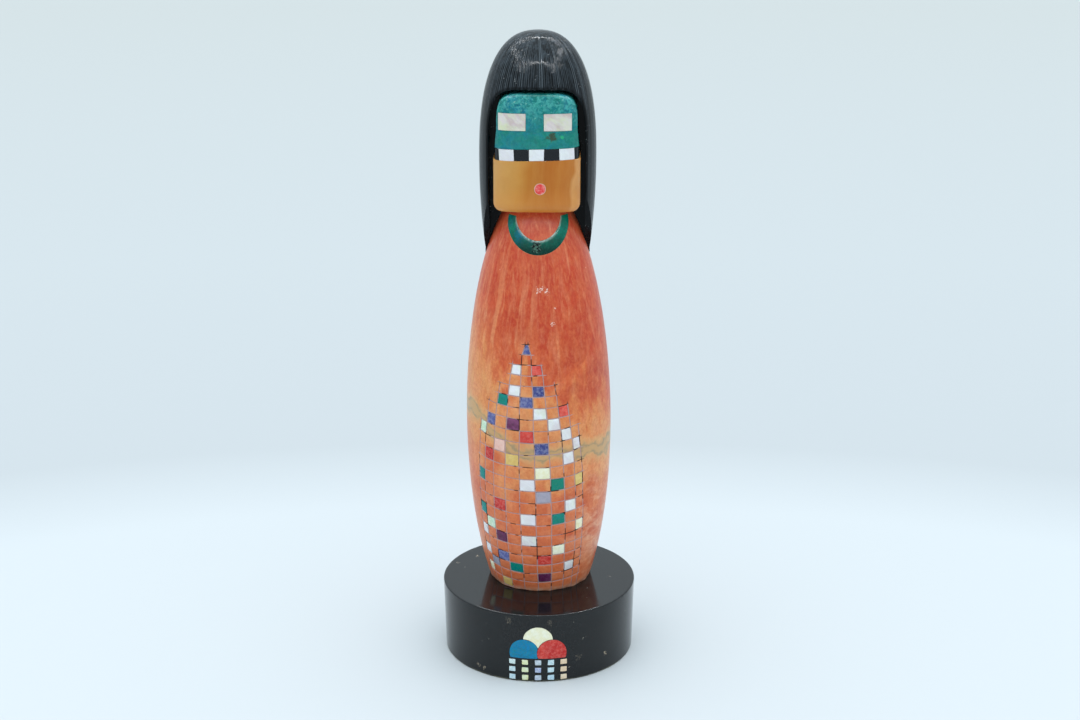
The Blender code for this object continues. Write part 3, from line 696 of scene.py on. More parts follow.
# %% Plinth stone
NICKS = (
    (-26.5, 19.4, 30, 1.0, 0.7), (-34.3, 12.1, 30, 0.8, 0.7), (-24.9, -30.4, 3.4, 0.9, 0.8),
    (-22.5, -32.2, 2.9, 0.8, 0.8), (27.3, -28.4, 7.8, 0.9, 0.9), (-12.2, -38.0, 27.2, 1.4, 0.26),
    (4.3, -39.7, 26.4, 1.2, 0.18), (16.1, -36.1, 9.5, 1.3, 0.16),
)
plinth_stone, tree, shader, place = new_stone(
    "plinth_stone", 0.12, relief=0.03, waves=60.0, pits=1800.0, level=0.38,
)
marks = use(tree, scuffs, Place=place, Amount=0.42)
colour = lay(tree, seen(5, 8, 10), (10, 14, 18), blotch(tree, place, 70.0, 1.5, 0.2))
colour = lay(tree, colour, (74, 76, 76), blotch(tree, place, 1600.0, 0.5, 0.06), 0.12)
rim = remap(tree, axes(tree, place)["Z"], 0.0008, 0.0003)
rim = times(tree, rim, remap(tree, noise(tree, place, 220.0)["Fac"], 0.35, 0.6))
colour = lay(tree, colour, (120, 118, 96), rim, 0.8)
colour = lay(tree, colour, (176, 172, 158), marks, 0.8)
crumbs = remap(tree, noise(tree, place, 2100.0, 2.0, 0.6, 0.3)["Fac"], 0.50, 0.58)
for x, y, z, radius, share in NICKS:
    nick = times(tree, knot(tree, place, (x * MM, y * MM, z * MM), radius * MM, 0.7), crumbs)
    colour = lay(tree, colour, (188, 172, 148), nick, share)
smear = remap(tree, noise(tree, place, 45.0, 4.0, 0.7, 1.5)["Fac"], 0.35, 0.7, 0.06, 0.2)
link_colour(tree, shader, colour, plus(tree, smear, times(tree, marks, 0.3)))
print("plinth stone has", len(tree.nodes), "nodes and", len(NICKS), "nicks")

# %% [markdown]
# The hair is a softer black stone. Its strands are cut into the mesh, so the finish only has to
# add the scuffs and the grey along the cuts and in streaks: partly bloom that collects there, and
# partly a painted sheen that makes the crown paler than the sides.

# %% Hair stone
BLOOM_AND_SHEEN_LOW, BLOOM_AND_SHEEN_HIGH = 0.226, 0.256
hair_stone, tree, shader, place = new_stone(
    "hair_stone", 0.12, relief=0.012, waves=160.0, pits=2200.0, pitting=0.8, level=0.105,
)
# the crown is painted paler towards its top as a painted sheen; the grey in cuts and streaks is partly real
# bloom
up = remap(tree, axes(tree, place)["Z"], BLOOM_AND_SHEEN_LOW, BLOOM_AND_SHEEN_HIGH)
bloom_and_sheen = streak(tree, place, 700.0, 0.06, 0.45, 0.72)
colour = lay(tree, seen(7, 9, 11), (13, 16, 19), blotch(tree, place, 90.0, 1.2, 0.2))
colour = lay(tree, colour, (142, 154, 162), painted(tree, "groove"), between(tree, up, 0.34, 1.0))
colour = lay(tree, colour, (78, 88, 96), bloom_and_sheen, between(tree, up, 0.05, 0.7))
colour = lay(tree, colour, (150, 152, 152), use(tree, scuffs, Place=place, Amount=0.6), 0.55)
link_colour(tree, shader, colour, between(tree, bloom_and_sheen, 0.07, 0.15))
print("hair stone has", len(tree.nodes), "nodes")

# %% [markdown]
# The mask is turquoise, with blue drifts, and with pale green crumbs and scratches that thicken
# near its top. One knot of brown matrix and one bright green speck sit under the right eye.

# %% Mask stone
MATRIX_KNOT = (0.0050, -0.0150, 0.2199), 0.0017
GREEN_SPECK = (0.0090, -0.0146, 0.2197), 0.0007
mask_stone, tree, shader, place = new_stone("mask_stone", 0.32, relief=0.06, waves=200.0, pits=1500.0)
top = remap(tree, axes(tree, place)["Z"], 0.2235, 0.2335)
green = blotch(tree, place, 420.0, 1.4, 0.12)
crumbs = blotch(tree, place, 560.0, 2.6, 0.09)
marks = use(tree, scuffs, Place=place, Amount=0.75)
colour = lay(tree, seen(0, 128, 114), (0, 120, 144), blotch(tree, place, 120.0, 1.8, 0.12))
colour = lay(tree, colour, (0, 112, 96), green, 0.5)
colour = lay(tree, colour, (6, 84, 96), blotch(tree, place, 640.0, 2.2, 0.05), 0.34)
colour = lay(tree, colour, (96, 200, 188), crumbs, between(tree, top, 0.12, 0.6))
colour = lay(tree, colour, (160, 214, 190), marks, between(tree, top, 0.25, 0.9))
colour = lay(tree, colour, (60, 66, 40), knot(tree, place, *MATRIX_KNOT), 0.85)
colour = lay(tree, colour, (40, 168, 120), knot(tree, place, *GREEN_SPECK))
link_colour(tree, shader, colour, between(tree, green, 0.24, 0.36))
print("mask stone has", len(tree.nodes), "nodes")

# %% [markdown]
# The chin is honey onyx. Its layers stand upright, lighter at both sides than in the middle. A
# slanted pale line at the right is a painted reflection, laid into the same ramp as the layers.
# Light enters onyx a little way, which the shader's subsurface gives.

# %% Chin stone
ONYX_HALF, ONYX_SLANT = 0.0185, -0.10
chin_stone, tree, shader, place = new_stone("chin_stone", 0.2, relief=0.03, waves=140.0, pitting=0.25)
where = axes(tree, place)
slant = times(tree, minus(tree, where["Z"], 0.2), ONYX_SLANT)
sway = remap(tree, noise(tree, place, 70.0, 2.0)["Fac"], 0.3, 0.7, -0.0012, 0.0012)
across = plus(tree, plus(tree, where["X"], slant), sway)
# the pale stop at 0.86 paints the reflection line along the chin's right side
colour = ramp(tree, remap(tree, across, -ONYX_HALF, ONYX_HALF), [
    (0.00, (208, 156, 92)), (0.16, (208, 152, 78)), (0.28, (204, 142, 62)), (0.38, (190, 118, 38)),
    (0.55, (184, 104, 26)), (0.72, (190, 110, 32)), (0.83, (190, 114, 44)), (0.86, (214, 154, 92)),
    (0.92, (206, 142, 82)), (1.00, (208, 150, 92)),
])
colour = lay(tree, colour, (216, 158, 80), streak(tree, place, 420.0, 0.08, 0.42, 0.68), 0.22)
colour = lay(tree, colour, (172, 94, 24), blotch(tree, place, 110.0, 1.5, 0.2), 0.18)
colour = lay(tree, colour, (228, 150, 74), remap(tree, where["Z"], 0.200, 0.189, 0.0, 0.5))
link_colour(tree, shader, colour)
shader.inputs["Subsurface Weight"].default_value = 0.12
shader.inputs["Subsurface Radius"].default_value = (1.0, 0.5, 0.25)
shader.inputs["Subsurface Scale"].default_value = 0.0015
print("chin stone has", len(tree.nodes), "nodes")

# %% [markdown]
# The necklace is green stone with a run of blue on its left, a darker lowest part, and there a
# black knot full of pale specks. A broken pale line along its inner edge is a painted highlight,
# where the rounded edge catches the light from above. The mouth is a coral disc inside a pale
# ring of glue.

# %% Necklace stone
BLACK_KNOT = (-0.0010, -0.0150, 0.1760), 0.0022
necklace_stone, tree, shader, place = new_stone("necklace_stone", 0.22, relief=0.05, waves=260.0, level=0.16)
where = axes(tree, place)
blue = times(tree, blotch(tree, place, 150.0, 1.8, 0.1), remap(tree, where["X"], 0.002, -0.006, 0.1, 1.0))
dark = blotch(tree, place, 360.0, 1.6, 0.12)
specks = blotch(tree, place, 1500.0, 0.4, 0.03)
glue_and_highlight = remap(tree, noise(tree, place, 420.0, 2.0)["Fac"], 0.36, 0.55, 0.1, 0.8)
black = knot(tree, place, *BLACK_KNOT, 0.35)
colour = lay(tree, seen(4, 126, 102), (8, 116, 142), blue)
colour = lay(tree, colour, (2, 66, 56), dark, 0.7)
colour = lay(tree, colour, (0, 46, 38), remap(tree, where["Z"], 0.1810, 0.1750, 0.0, 0.95))
# painted highlight along the necklace's inner edge, broken by a noise
colour = lay(tree, colour, (200, 216, 208), painted(tree, "glue_and_highlight"), glue_and_highlight)
colour = lay(tree, colour, (4, 14, 14), black)
colour = lay(tree, colour, (120, 172, 148), specks, between(tree, black, 0.03, 0.34))
link_colour(tree, shader, colour, between(tree, dark, 0.18, 0.3))
print("necklace stone has", len(tree.nodes), "nodes")

# %% Mouth stone
mouth_stone, tree, shader, place = new_stone("mouth_stone", 0.25, relief=0.03)
colour = lay(tree, seen(228, 62, 62), (246, 170, 160), blotch(tree, place, 650.0, 1.5, 0.1), 0.6)
colour = lay(tree, colour, (226, 196, 176), painted(tree, "glue_and_highlight"))
link_colour(tree, shader, colour)
print("materials:", len(bpy.data.materials))

# %% [markdown]
# ## The cob
#
# An ear of corn is cut into the body's front. Its rows and columns are lines scratched into the
# stone, so each cell is a kernel. About one kernel in three is cut out and filled with a small
# plate. The lines could be drawn by a material, but they must be real grooves, because they catch
# the light from every side.

# %% Lines of the cob
COB_TOP, COB_TIP, COB_FOOT, COB_ROWS = 104.6 * MM, 4 * MM, 0.4 * MM, 22
COB_TURN, COB_HALF_COLUMNS = math.radians(-9.6), 4
COB_HALF_WIDTH, COLUMN_STEP = 26.8 * MM, math.radians(14)
COB_WIDEST, COB_HALF_HEIGHT = 40 * MM, 76 * MM
ROW_SWELL, ROW_RISE = 1.9 * MM, 1.8 * MM
TIP_HEIGHT = COB_TOP + COB_TIP
EDGE_LINE = COB_HALF_COLUMNS + 0.5
KERNEL_TIP = 0.2
HAND = 0.09 * MM


def row_line(row):
    """Height of the line under a row. Row -1 is the top of the tip."""
    if row < 0:
        return TIP_HEIGHT
    t = row / COB_ROWS
    return COB_TOP + (COB_FOOT - COB_TOP) * t + ROW_SWELL * math.sin(2 * math.pi * t)


def cob_point(column, height):
    """(distance round the body, height) on a column line, with the slight wander of a hand tool."""
    column, height = np.broadcast_arrays(np.asarray(column, float), np.asarray(height, float))
    past_tip = smooth_step(TIP_HEIGHT + 1 * MM, TIP_HEIGHT + 7 * MM, height)
    squeeze = (1 - 2 * KERNEL_TIP) * np.clip((height - COB_TOP) / COB_TIP, 0, 1) * (1 - past_tip)
    half = 0.5 * (1 - squeeze)
    size = np.abs(column)
    outside = half + (size - 0.5) * (1.5 - half)
    line = np.sign(column) * np.where(size < 0.5, size * 2 * half, np.where(size < 1.5, outside, size))
    narrowing = np.sqrt(1 - ((np.minimum(height, TIP_HEIGHT) - COB_WIDEST) / COB_HALF_HEIGHT) ** 2)
    wander = HAND * np.sin(300 * height + 2.4 * column)
    around = COB_HALF_WIDTH * np.sin(COLUMN_STEP * line) * narrowing + wander
    lift = ROW_RISE * (column / EDGE_LINE) ** 2 + HAND * np.sin(1.7 * column + 700 * height)
    return around, height + lift * (1 - smooth_step(112 * MM, 150 * MM, height))


def on_body(around, height, depth=0.0):
    """Place under the body's surface, from the distance round it and the height."""
    surface = body_radius(height)
    angle = COB_TURN + around / surface
    return np.stack([(surface - depth) * np.sin(angle), -(surface - depth) * np.cos(angle), height], -1)


print("the cob's foot and tip are at", round(row_line(COB_ROWS), 4), "and", round(row_line(-1), 4), "m")

# %% [markdown]
# The rule for which cells are filled is the same seeded rule that placed the solids. Two filled
# cells never touch by a side, and no stone comes twice in a row, as in the real mosaic.

# %% Which cells are filled, and with what
KERNEL_CHANCE, KERNEL_SEED = 0.48, 18
KERNEL_STONES = [
    ("pearl", 0.25), ("turquoise", 0.17), ("shell", 0.13), ("coral_red", 0.14), ("lapis", 0.10),
    ("sugilite", 0.06), ("amber", 0.06), ("sea_shell", 0.04), ("grey_shell", 0.03), ("pink_shell", 0.02),
]


def span(row):
    """How many columns a row has on each side of the middle one."""
    return min(COB_HALF_COLUMNS, row // 2)


def cells(row):
    """The columns of a row, from left to right."""
    return range(-span(row), span(row) + 1)


def pick_stone(chance, last):
    """A stone by its share, other than the last one."""
    shares = [(name, share) for name, share in KERNEL_STONES if name != last]
    chance *= sum(share for name, share in shares)
    for name, share in shares:
        chance -= share
        if chance <= 0:
            return name
    return shares[-1][0]


chances = random.Random(KERNEL_SEED)
last = "lapis"
kernels = {(0, 0): last}
for row in range(1, COB_ROWS + 1):
    for column in cells(row):
        draw, kind = chances.random(), chances.random()
        beside = (row - 1, column) in kernels or (row, column - 1) in kernels
        if draw <= KERNEL_CHANCE and not beside:
            last = pick_stone(kind, last)
            kernels[row, column] = last
print("filled cells:", len(kernels))

# %% [markdown]
# The body's mesh is a grid whose lines follow the cob's own lines. Next to every scratch the grid
# has a pair of points on its floor, a pair at its edges and a pair just beyond, so a groove stays
# crisp with few points. Filled cells sink to a pocket. Outside the cob the same grid runs on round
# the back and up to the neck.

# %% Grid of the body
GROOVE, FLOOR, EDGE = 0.21 * MM, 0.10 * MM, 0.13 * MM
GROOVE_DEPTH, POCKET = 0.25 * MM, 1.5 * MM
BEYOND, AT_EDGE, ON_FLOOR, NO_CELL = 0, 1, 2, -2
STEPS = (
    (-GROOVE - EDGE, BEYOND), (-GROOVE, AT_EDGE), (-FLOOR, ON_FLOOR),
    (FLOOR, ON_FLOOR), (GROOVE, AT_EDGE), (GROOVE + EDGE, BEYOND),
)

columns = []
for line in np.arange(-EDGE_LINE, EDGE_LINE + 1):
    for offset, kind in STEPS:
        columns.append((line, offset, kind, int(line + math.copysign(0.5, offset))))
    if line < EDGE_LINE:
        columns += [(line + share, 0.0, BEYOND, int(line + 0.5)) for share in (0.25, 0.5, 0.75)]
for away in (0.9, 1.6, 2.6):
    columns.append((EDGE_LINE, away * MM, BEYOND, COB_HALF_COLUMNS + 1))
    columns.insert(0, (-EDGE_LINE, -away * MM, BEYOND, -COB_HALF_COLUMNS - 1))
column_at, column_off, column_kind, column_cell = (np.array(values) for values in zip(*columns))

rows = [(0.05 * MM, BEYOND, NO_CELL, NO_CELL), (0.3 * MM, BEYOND, NO_CELL, NO_CELL)]
for line in range(COB_ROWS, -2, -1):
    for offset, kind in STEPS:
        if line < COB_ROWS or offset > FLOOR:
            rows.append((row_line(line) + offset, kind, line + 1 if offset < 0 else line, line))
    if line >= 0:
        under, over = row_line(line) + GROOVE + EDGE, row_line(line - 1) - GROOVE - EDGE
        rows += [(under + (over - under) * share, BEYOND, line, line) for share in (0.33, 0.67)]
chest_rows = np.linspace(TIP_HEIGHT + 1.5 * MM, NECK - 0.5 * MM, 32)
rows += [(height, BEYOND, NO_CELL, NO_CELL) for height in chest_rows]
print("columns of the cob:", len(columns), "rows:", len(rows))

# %% [markdown]
# Each scratch runs past the cob's side by a length of its own, and fades out there. The plain
# cells between the plates have settled by a few hundredths of a millimetre, each by its own
# amount, so that the light picks them out.

# %% How far the scratches run
SETTLED, EDGE_SETTLED = 0.05, 0.04 * MM
chances = random.Random(5)
in_cob = {(row, column) for row in range(COB_ROWS + 1) for column in cells(row)}
settle = {cell: chances.uniform(0.0, SETTLED) * MM for cell in sorted(in_cob)}
overshoot = {line: [chances.uniform(0.3, 2.2) * MM for end in range(2)] for line in range(-1, COB_ROWS + 1)}
rise_past = {line: chances.uniform(0.3, 1.8) * MM for line in range(-5, 6)}


def row_reach(line):
    """Last column line, on either side, that a row's line is scratched to."""
    return span(max(0, min(COB_ROWS, line + 1))) + 0.5 if line >= 0 else 0.5


def scratched(around, line, height):
    """How deep a row's line is here: full inside the cob, and running out past its sides."""
    end = row_reach(line)
    left, right = (cob_point(side * end, height)[0] for side in (-1, 1))
    past = np.maximum(left - around, around - right)
    runs = np.where(around < 0, overshoot[line][0], overshoot[line][1])
    return np.clip(1 - past / runs, 0, 1)


def column_top(line):
    """Height at which a column's line starts."""
    first = next(row for row in range(COB_ROWS + 1) if span(row) + 0.5 >= abs(line))
    return row_line(first - 1)


tops = {line: column_top(line) for line in sorted(set(column_at[column_kind == ON_FLOOR]))}
print("cells of the cob:", len(in_cob), "column lines:", len(tops))

# %% Depth of every point of the grid
grid_around = np.zeros((len(rows), len(columns)))
grid_height = np.zeros_like(grid_around)
grid_depth = np.zeros_like(grid_around)
grid_groove = np.zeros_like(grid_around)
for i, (height, row_kind, cell_row, line) in enumerate(rows):
    around, lifted = cob_point(column_at, height)
    grid_around[i] = around + column_off
    grid_height[i] = height + (lifted - height) * (min(i, 2) / 2) ** 3
    depth = np.zeros(len(columns))
    groove = np.zeros(len(columns))
    if row_kind == ON_FLOOR:
        groove = scratched(grid_around[i], line, height)
    for j in range(len(columns)):
        if column_kind[j] == ON_FLOOR:
            past = (height - tops[column_at[j]]) / rise_past[int(column_at[j] + 0.5)]
            groove[j] = max(groove[j], min(1.0, max(0.0, 1 - past)))
        elif row_kind != ON_FLOOR:
            cell = (cell_row, column_cell[j])
            at_edge = AT_EDGE in (row_kind, column_kind[j])
            if cell in kernels:
                depth[j] = GROOVE_DEPTH if at_edge else POCKET
                groove[j] = 1.0
            elif cell in in_cob:
                depth[j] = settle[cell] + (EDGE_SETTLED if at_edge else 0.0)
    grid_depth[i] = np.maximum(depth, groove * GROOVE_DEPTH)
    grid_groove[i] = groove
print("deepest point:", grid_depth.max(), "m")

# %% [markdown]
# Nothing made by hand is quite even. `ripple` is a smooth seeded unevenness round a piece, and it
# chips the body's foot a little, where the real stone is worn.


# %% Ripple, and numbers kept on a mesh
USUAL_WAVE = 0.7


def ripple(angle, seed, waves=9, first=2):
    """Smooth values of about -1 to 1 round a circle, from waves of 0.3 to 1 in height."""
    chances = random.Random(seed)
    total = np.zeros_like(np.asarray(angle, float))
    for wave in range(first, first + waves):
        total += np.sin(wave * angle + chances.uniform(0, 2 * math.pi)) * chances.uniform(0.3, 1.0)
    return total / math.sqrt(waves) / USUAL_WAVE


def paint(piece, name, values):
    """Keeps one number per point on the mesh, for the stone to read."""
    layer = piece.data.attributes.get(name) or piece.data.attributes.new(name, "FLOAT", "POINT")
    layer.data.foreach_set("value", np.asarray(values, np.float32))


def places(piece):
    """The place of every point of a piece."""
    values = np.empty(len(piece.data.vertices) * 3, np.float32)
    piece.data.vertices.foreach_get("co", values)
    return values.reshape(-1, 3).astype(float)


# %% Rings of the body
BACK_COLUMNS, NECK_ROUND = 122, 0.5 * MM
FOOT_WEAR = ((0.35, 0.25), (0.1, 0.12))
angle = COB_TURN + grid_around / body_radius(grid_height)
share = np.linspace(0, 1, BACK_COLUMNS + 2)[1:-1]
behind = angle[:, -1:] + (angle[:, :1] + 2 * math.pi - angle[:, -1:]) * share
angle = np.hstack([angle, behind])
height = np.hstack([grid_height, grid_height[:, -1:] * np.ones((1, BACK_COLUMNS))])
depth = np.hstack([grid_depth, 0 * behind])
groove = np.hstack([grid_groove, 0 * behind])
for row, (worn, uneven) in enumerate(FOOT_WEAR):
    depth[row] += (worn + uneven * ripple(angle[row], 1, 24, 5)) * MM
for turn in np.radians((30, 60, 90)):
    angle = np.vstack([angle, angle[-1:]])
    height = np.vstack([height, height[-1:] * 0 + NECK - NECK_ROUND * (1 - math.sin(turn))])
    depth = np.vstack([depth, depth[-1:] * 0 + NECK_ROUND * (1 - math.cos(turn))])
    groove = np.vstack([groove, groove[-1:] * 0])
reach = body_radius(height) - depth
rings = np.stack([reach * np.sin(angle), -reach * np.cos(angle), height], -1)
body = make_piece("body_stone", stood(skin(rings, (0, 0, 0.05 * MM), (0, 0, NECK))), body_stone)
paint(body, "groove", [*groove.ravel(), 0, 0])
print("body points:", len(body.data.vertices))

# %% [markdown]
# Behind, the body is cut back to a slanted flat where the hair lies against it. That flat hides in
# the finished figure, and leaving it out would make two stones share one place. The vein is a
# line through nine points round the body. The mesh keeps each point's distance across it, which
# is a little less than the difference in height, since the vein runs at a slant.

# %% Bed of the hair, and the vein
FAR = 60 * MM
VEIN = [
    (-28, -5.6, 108.4), (-23.7, -13.8, 107.5), (-18.8, -19, 100.8), (-9.6, -24, 94.2), (-4.4, -25.3, 94.2),
    (1.6, -25.5, 91.3), (8.4, -24.5, 95.2), (20.6, -17.3, 92.9), (26.9, -8.1, 90.7),
]
VEIN_SLOPE = 0.85


def crossbar(name, side, hub):
    """A cutter right across the figure, with its outline, and a point inside it, in y and z."""
    ends = [[(x, y, z) for y, z in side] for x in (-FAR, FAR)]
    return make_piece(name, stood(skin(ends, (-FAR, *hub), (FAR, *hub))))


def bed_wedge(name, back=0.0):
    """The room behind the body's slanted flat, set back a little where something has to clear it."""
    side = [
        ((NECK - HAIR_WIDEST) * BED_SLOPE + back, HAIR_WIDEST),
        ((NECK - LEDGE - back) * BED_SLOPE + back, LEDGE + back),
        (FAR, LEDGE + back), (FAR, HAIR_WIDEST),
    ]
    return crossbar(name, side, (30 * MM, 140 * MM))


carve(body, bed_wedge("bed"))
at = places(body)
turns = np.arctan2(at[:, 0] - FIGURE_X, FIGURE_Y - at[:, 1])
vein_turns = [math.atan2(x - FIGURE_X / MM, FIGURE_Y / MM - y) for x, y, z in VEIN]
vein_height = np.interp(turns, vein_turns, [z for x, y, z in VEIN], period=2 * math.pi)
paint(body, "vein", (at[:, 2] / MM - vein_height) * VEIN_SLOPE)
stand_for(body, "coral_orange", "body")
kept = [item.name for item in body.data.attributes if not item.name.startswith(".")]
print("body points:", len(at), "numbers kept on them:", kept)

# %% [markdown]
# ## Plates
#
# All the small plates are made alike. An outline is cut a hair smaller than its pocket, its corners
# are taken off, its front edge is rounded, and its face is left very slightly crowned. A bevel
# could round a flat plate, but these follow curved surfaces. So `slab` builds any such plate over
# a surface given as a function, from an eye to the whole mask.


# %% Outlines of plates
def grown(outline, by):
    """The outline moved outwards, with mitred corners."""
    points = np.asarray(outline, float)
    ahead = np.roll(points, -1, 0) - points
    ahead /= np.linalg.norm(ahead, axis=1)[:, None]
    normals = np.stack([ahead[:, 1], -ahead[:, 0]], 1)
    both = normals + np.roll(normals, 1, 0)
    return points + both * (by * np.minimum(2 / (both**2).sum(1), 2))[:, None]


def rounded(corners, radius, steps=5):
    """The outline through the corners, each taken off by an arc, each side divided into steps."""
    corners = np.asarray(corners, float)
    arcs = []
    for here, before, after in zip(corners, np.roll(corners, 1, 0), np.roll(corners, -1, 0)):
        one, two = before - here, after - here
        one, two = one / np.linalg.norm(one), two / np.linalg.norm(two)
        arcs.append([here + (one * (1 - t) ** 2 + two * t**2) * radius for t in (0.0, 0.3, 0.7, 1.0)])
    points = []
    for arc, following in zip(arcs, arcs[1:] + arcs[:1]):
        points += arc
        points += [arc[-1] + (following[0] - arc[-1]) * k / steps for k in range(1, steps)]
    return np.array(points)


def rectangle(u, v, half_width, half_height):
    """Four corners round a middle, from the lower left one on."""
    return [(u + a * half_width, v + b * half_height) for a, b in ((-1, -1), (1, -1), (1, 1), (-1, 1))]


def nudged(corners, reach, chances):
    """The corners of a plate ground by hand, each a little out of place."""
    return [(u + chances.uniform(-reach, reach), v + chances.uniform(-reach, reach)) for u, v in corners]


# %% Slab, and the hole for it
def slab(outline, hub, front, back, edge=0.1 * MM, crown=0.0, taper=0.0, scales=(0.8, 0.5, 0.25)):
    """Plate with a rounded front edge. front(u, v, depth) and back(u, v) give the places."""
    hub = np.asarray(hub, float)
    rings = [back(*grown(outline, -taper).T)]
    for turn in np.radians((0, 35, 65, 90)):
        rim = grown(outline, -edge * (1 - math.cos(turn)))
        rings.append(front(*rim.T, edge * (1 - math.sin(turn))))
    for scale in scales:
        u, v = (hub + (rim - hub) * scale).T
        rings.append(front(u, v, -crown * (1 - scale**2)))
    return skin(rings, back(*hub), front(*hub, -crown))


def deeper(front, depth):
    """The surface that lies a depth under a front, for the back of a plate."""
    return lambda u, v: front(u, v, depth)


def plug(outline, hub, front, depth, gap=JOINT):
    """Cutter for a plate's hole: wider by a gap, deeper by a joint, and standing out in front."""
    wide, floor, out = grown(outline, gap), depth + JOINT, -2 * MM
    return skin([front(*wide.T, floor), front(*wide.T, out)], front(*hub, floor), front(*hub, out))


def tinted(piece, value):
    """Gives a plate its own place between the two colours of its stone."""
    paint(piece, "tint", np.full(len(piece.data.vertices), value))
    return piece


# %% [markdown]
# The kernels take their outlines from the cob's own lines. The corners are nudged a little, since
# each plate was ground by hand to fit its cell. The 26 plates nearest the cob's middle column
# stand for a solid each, and the others are small enough to live in this scene alone.

# %% Kernel plates
SLOTS = {"sea_shell": "shell"}
SOLID_KERNELS = 26
KERNEL_GAP, KERNEL_NUDGE, KERNEL_THICK = 0.27 * MM, 0.04 * MM, 1.4 * MM
KERNEL_CROWN, KERNEL_TAPER = 0.05 * MM, 0.16 * MM


def cell_corners(row, column):
    """The corners of a cell, from the lower left one on."""
    under, over = row_line(row), row_line(row - 1)
    left, right = column - 0.5, column + 0.5
    spots = ((left, under), (right, under), (right, over), (left, over))
    return [tuple(float(value) for value in cob_point(*spot)) for spot in spots]


chances, tints = random.Random(11), random.Random(12)
nearest = sorted(kernels, key=lambda cell: (abs(cell[1]), cell[0]))[:SOLID_KERNELS]
for (row, column), kind in kernels.items():
    corners = nudged(grown(cell_corners(row, column), -KERNEL_GAP), KERNEL_NUDGE, chances)
    outline = rounded(corners, chances.uniform(0.12, 0.4) * MM)
    sunk = chances.uniform(-0.03, 0.04) * MM
    solid = slab(
        outline, outline.mean(0), lambda u, v, depth: on_body(u, v, depth + sunk),
        deeper(on_body, KERNEL_THICK), crown=KERNEL_CROWN, taper=KERNEL_TAPER,
    )
    name = f"kernel_r{row:02d}_c{column + COB_HALF_COLUMNS + 1}"
    tile = tinted(make_piece(f"tile_{name}", stood(solid), plates[kind]), tints.random())
    stand_for(tile, SLOTS.get(kind, kind), *([name] if (row, column) in nearest else []))
print("kernel plates:", len(kernels), "of which stand for a solid:", len(nearest))

# %% [markdown]
# ## The hair
#
# The hair is one hood of black stone. Fine strands are cut down it from the crown. They could be a
# bump in the finish, but then the outline would stay smooth. So the hood is built like the body,
# as rings of points with a dip between strands. The rows lie closest together round the head of
# the face's arch, where its rim is rounded.

# %% Strands and rows of the hair
STRANDS = 140
STRAND_DIPS = ((0.0, 1.0), (0.08, 0.6), (0.2, 0.12), (0.5, 0.0), (0.8, 0.12), (0.92, 0.6))
RIM_LOW, RIM_HIGH = 204 * MM, 211 * MM
chances = random.Random(21)
widths = [chances.uniform(0.7, 1.4) for strand in range(STRANDS)]
scale = 2 * math.pi / sum(widths)
turn, turns, dips = 0.0, [], []
for width in widths:
    cut = 0.25 + 1.1 * chances.random() ** 1.7
    for share, dip in STRAND_DIPS:
        turns.append(turn + width * scale * share)
        dips.append(cut * dip)
    turn += width * scale
turns, dips = np.array(turns), np.array(dips)

heights = [*np.linspace(HAIR_LOW, HAIR_WIDEST, 25)[:-1], *np.linspace(HAIR_WIDEST, RIM_LOW, 12)[:-1]]
heights += [*np.linspace(RIM_LOW, RIM_HIGH, 19)]
start = math.asin(((RIM_HIGH - HAIR_WIDEST) / HAIR_CROWN) ** (HAIR_CROWN_POWER / 2))
for swing in np.linspace(start, math.pi / 2, 20)[1:-1]:
    heights.append(HAIR_WIDEST + HAIR_CROWN * math.sin(swing) ** (2 / HAIR_CROWN_POWER))
heights = np.array(heights)[:, None]
print("columns of the hair:", len(turns), "rows:", len(heights))


# %% The face's arch
def arch(half_width, foot_half_width, low, spring, top, power, steps=24):
    """Outline with straight sides and a rounded head, starting at its left foot."""
    points = [(foot_half_width * (2 * i / steps - 1), low) for i in range(steps + 1)]
    spread, rise = half_width - foot_half_width, spring - low
    right = [(foot_half_width + spread * i / 8, low + rise * i / 8) for i in range(1, 8)]
    points += right
    for i in range(2 * steps + 1):
        across, up = math.cos(math.pi * i / (2 * steps)), math.sin(math.pi * i / (2 * steps))
        u = half_width * math.copysign(abs(across) ** (2 / power), across)
        points.append((u, spring + (top - spring) * up ** (2 / power)))
    return points + [(-u, v) for u, v in reversed(right)]


def off_outline(u, v, outline):
    """Signed distance from an outline: negative inside it."""
    ends = np.asarray(outline)
    best, inside = np.full(u.shape, 1.0), np.zeros(u.shape, bool)
    for (u0, v0), (u1, v1) in zip(ends, np.roll(ends, -1, 0)):
        du, dv = u1 - u0, v1 - v0
        t = np.clip(((u - u0) * du + (v - v0) * dv) / (du * du + dv * dv), 0, 1)
        best = np.minimum(best, np.hypot(u - u0 - t * du, v - v0 - t * dv))
        if dv:
            inside ^= ((v0 <= v) != (v1 <= v)) & (u < u0 + (v - v0) / dv * du)
    return np.where(inside, -best, best)


HEAD_TURN = math.radians(-1.5)
recess = arch(RECESS_HALF, RECESS_HALF, 0.0, HAIR_WIDEST, RECESS_TOP, RECESS_POWER)
print("points of the arch:", len(recess))

# %% [markdown]
# The strands fade out near the rim of the arch, and the rim itself rolls inwards, since a hard
# edge of stone there would have chipped long ago.

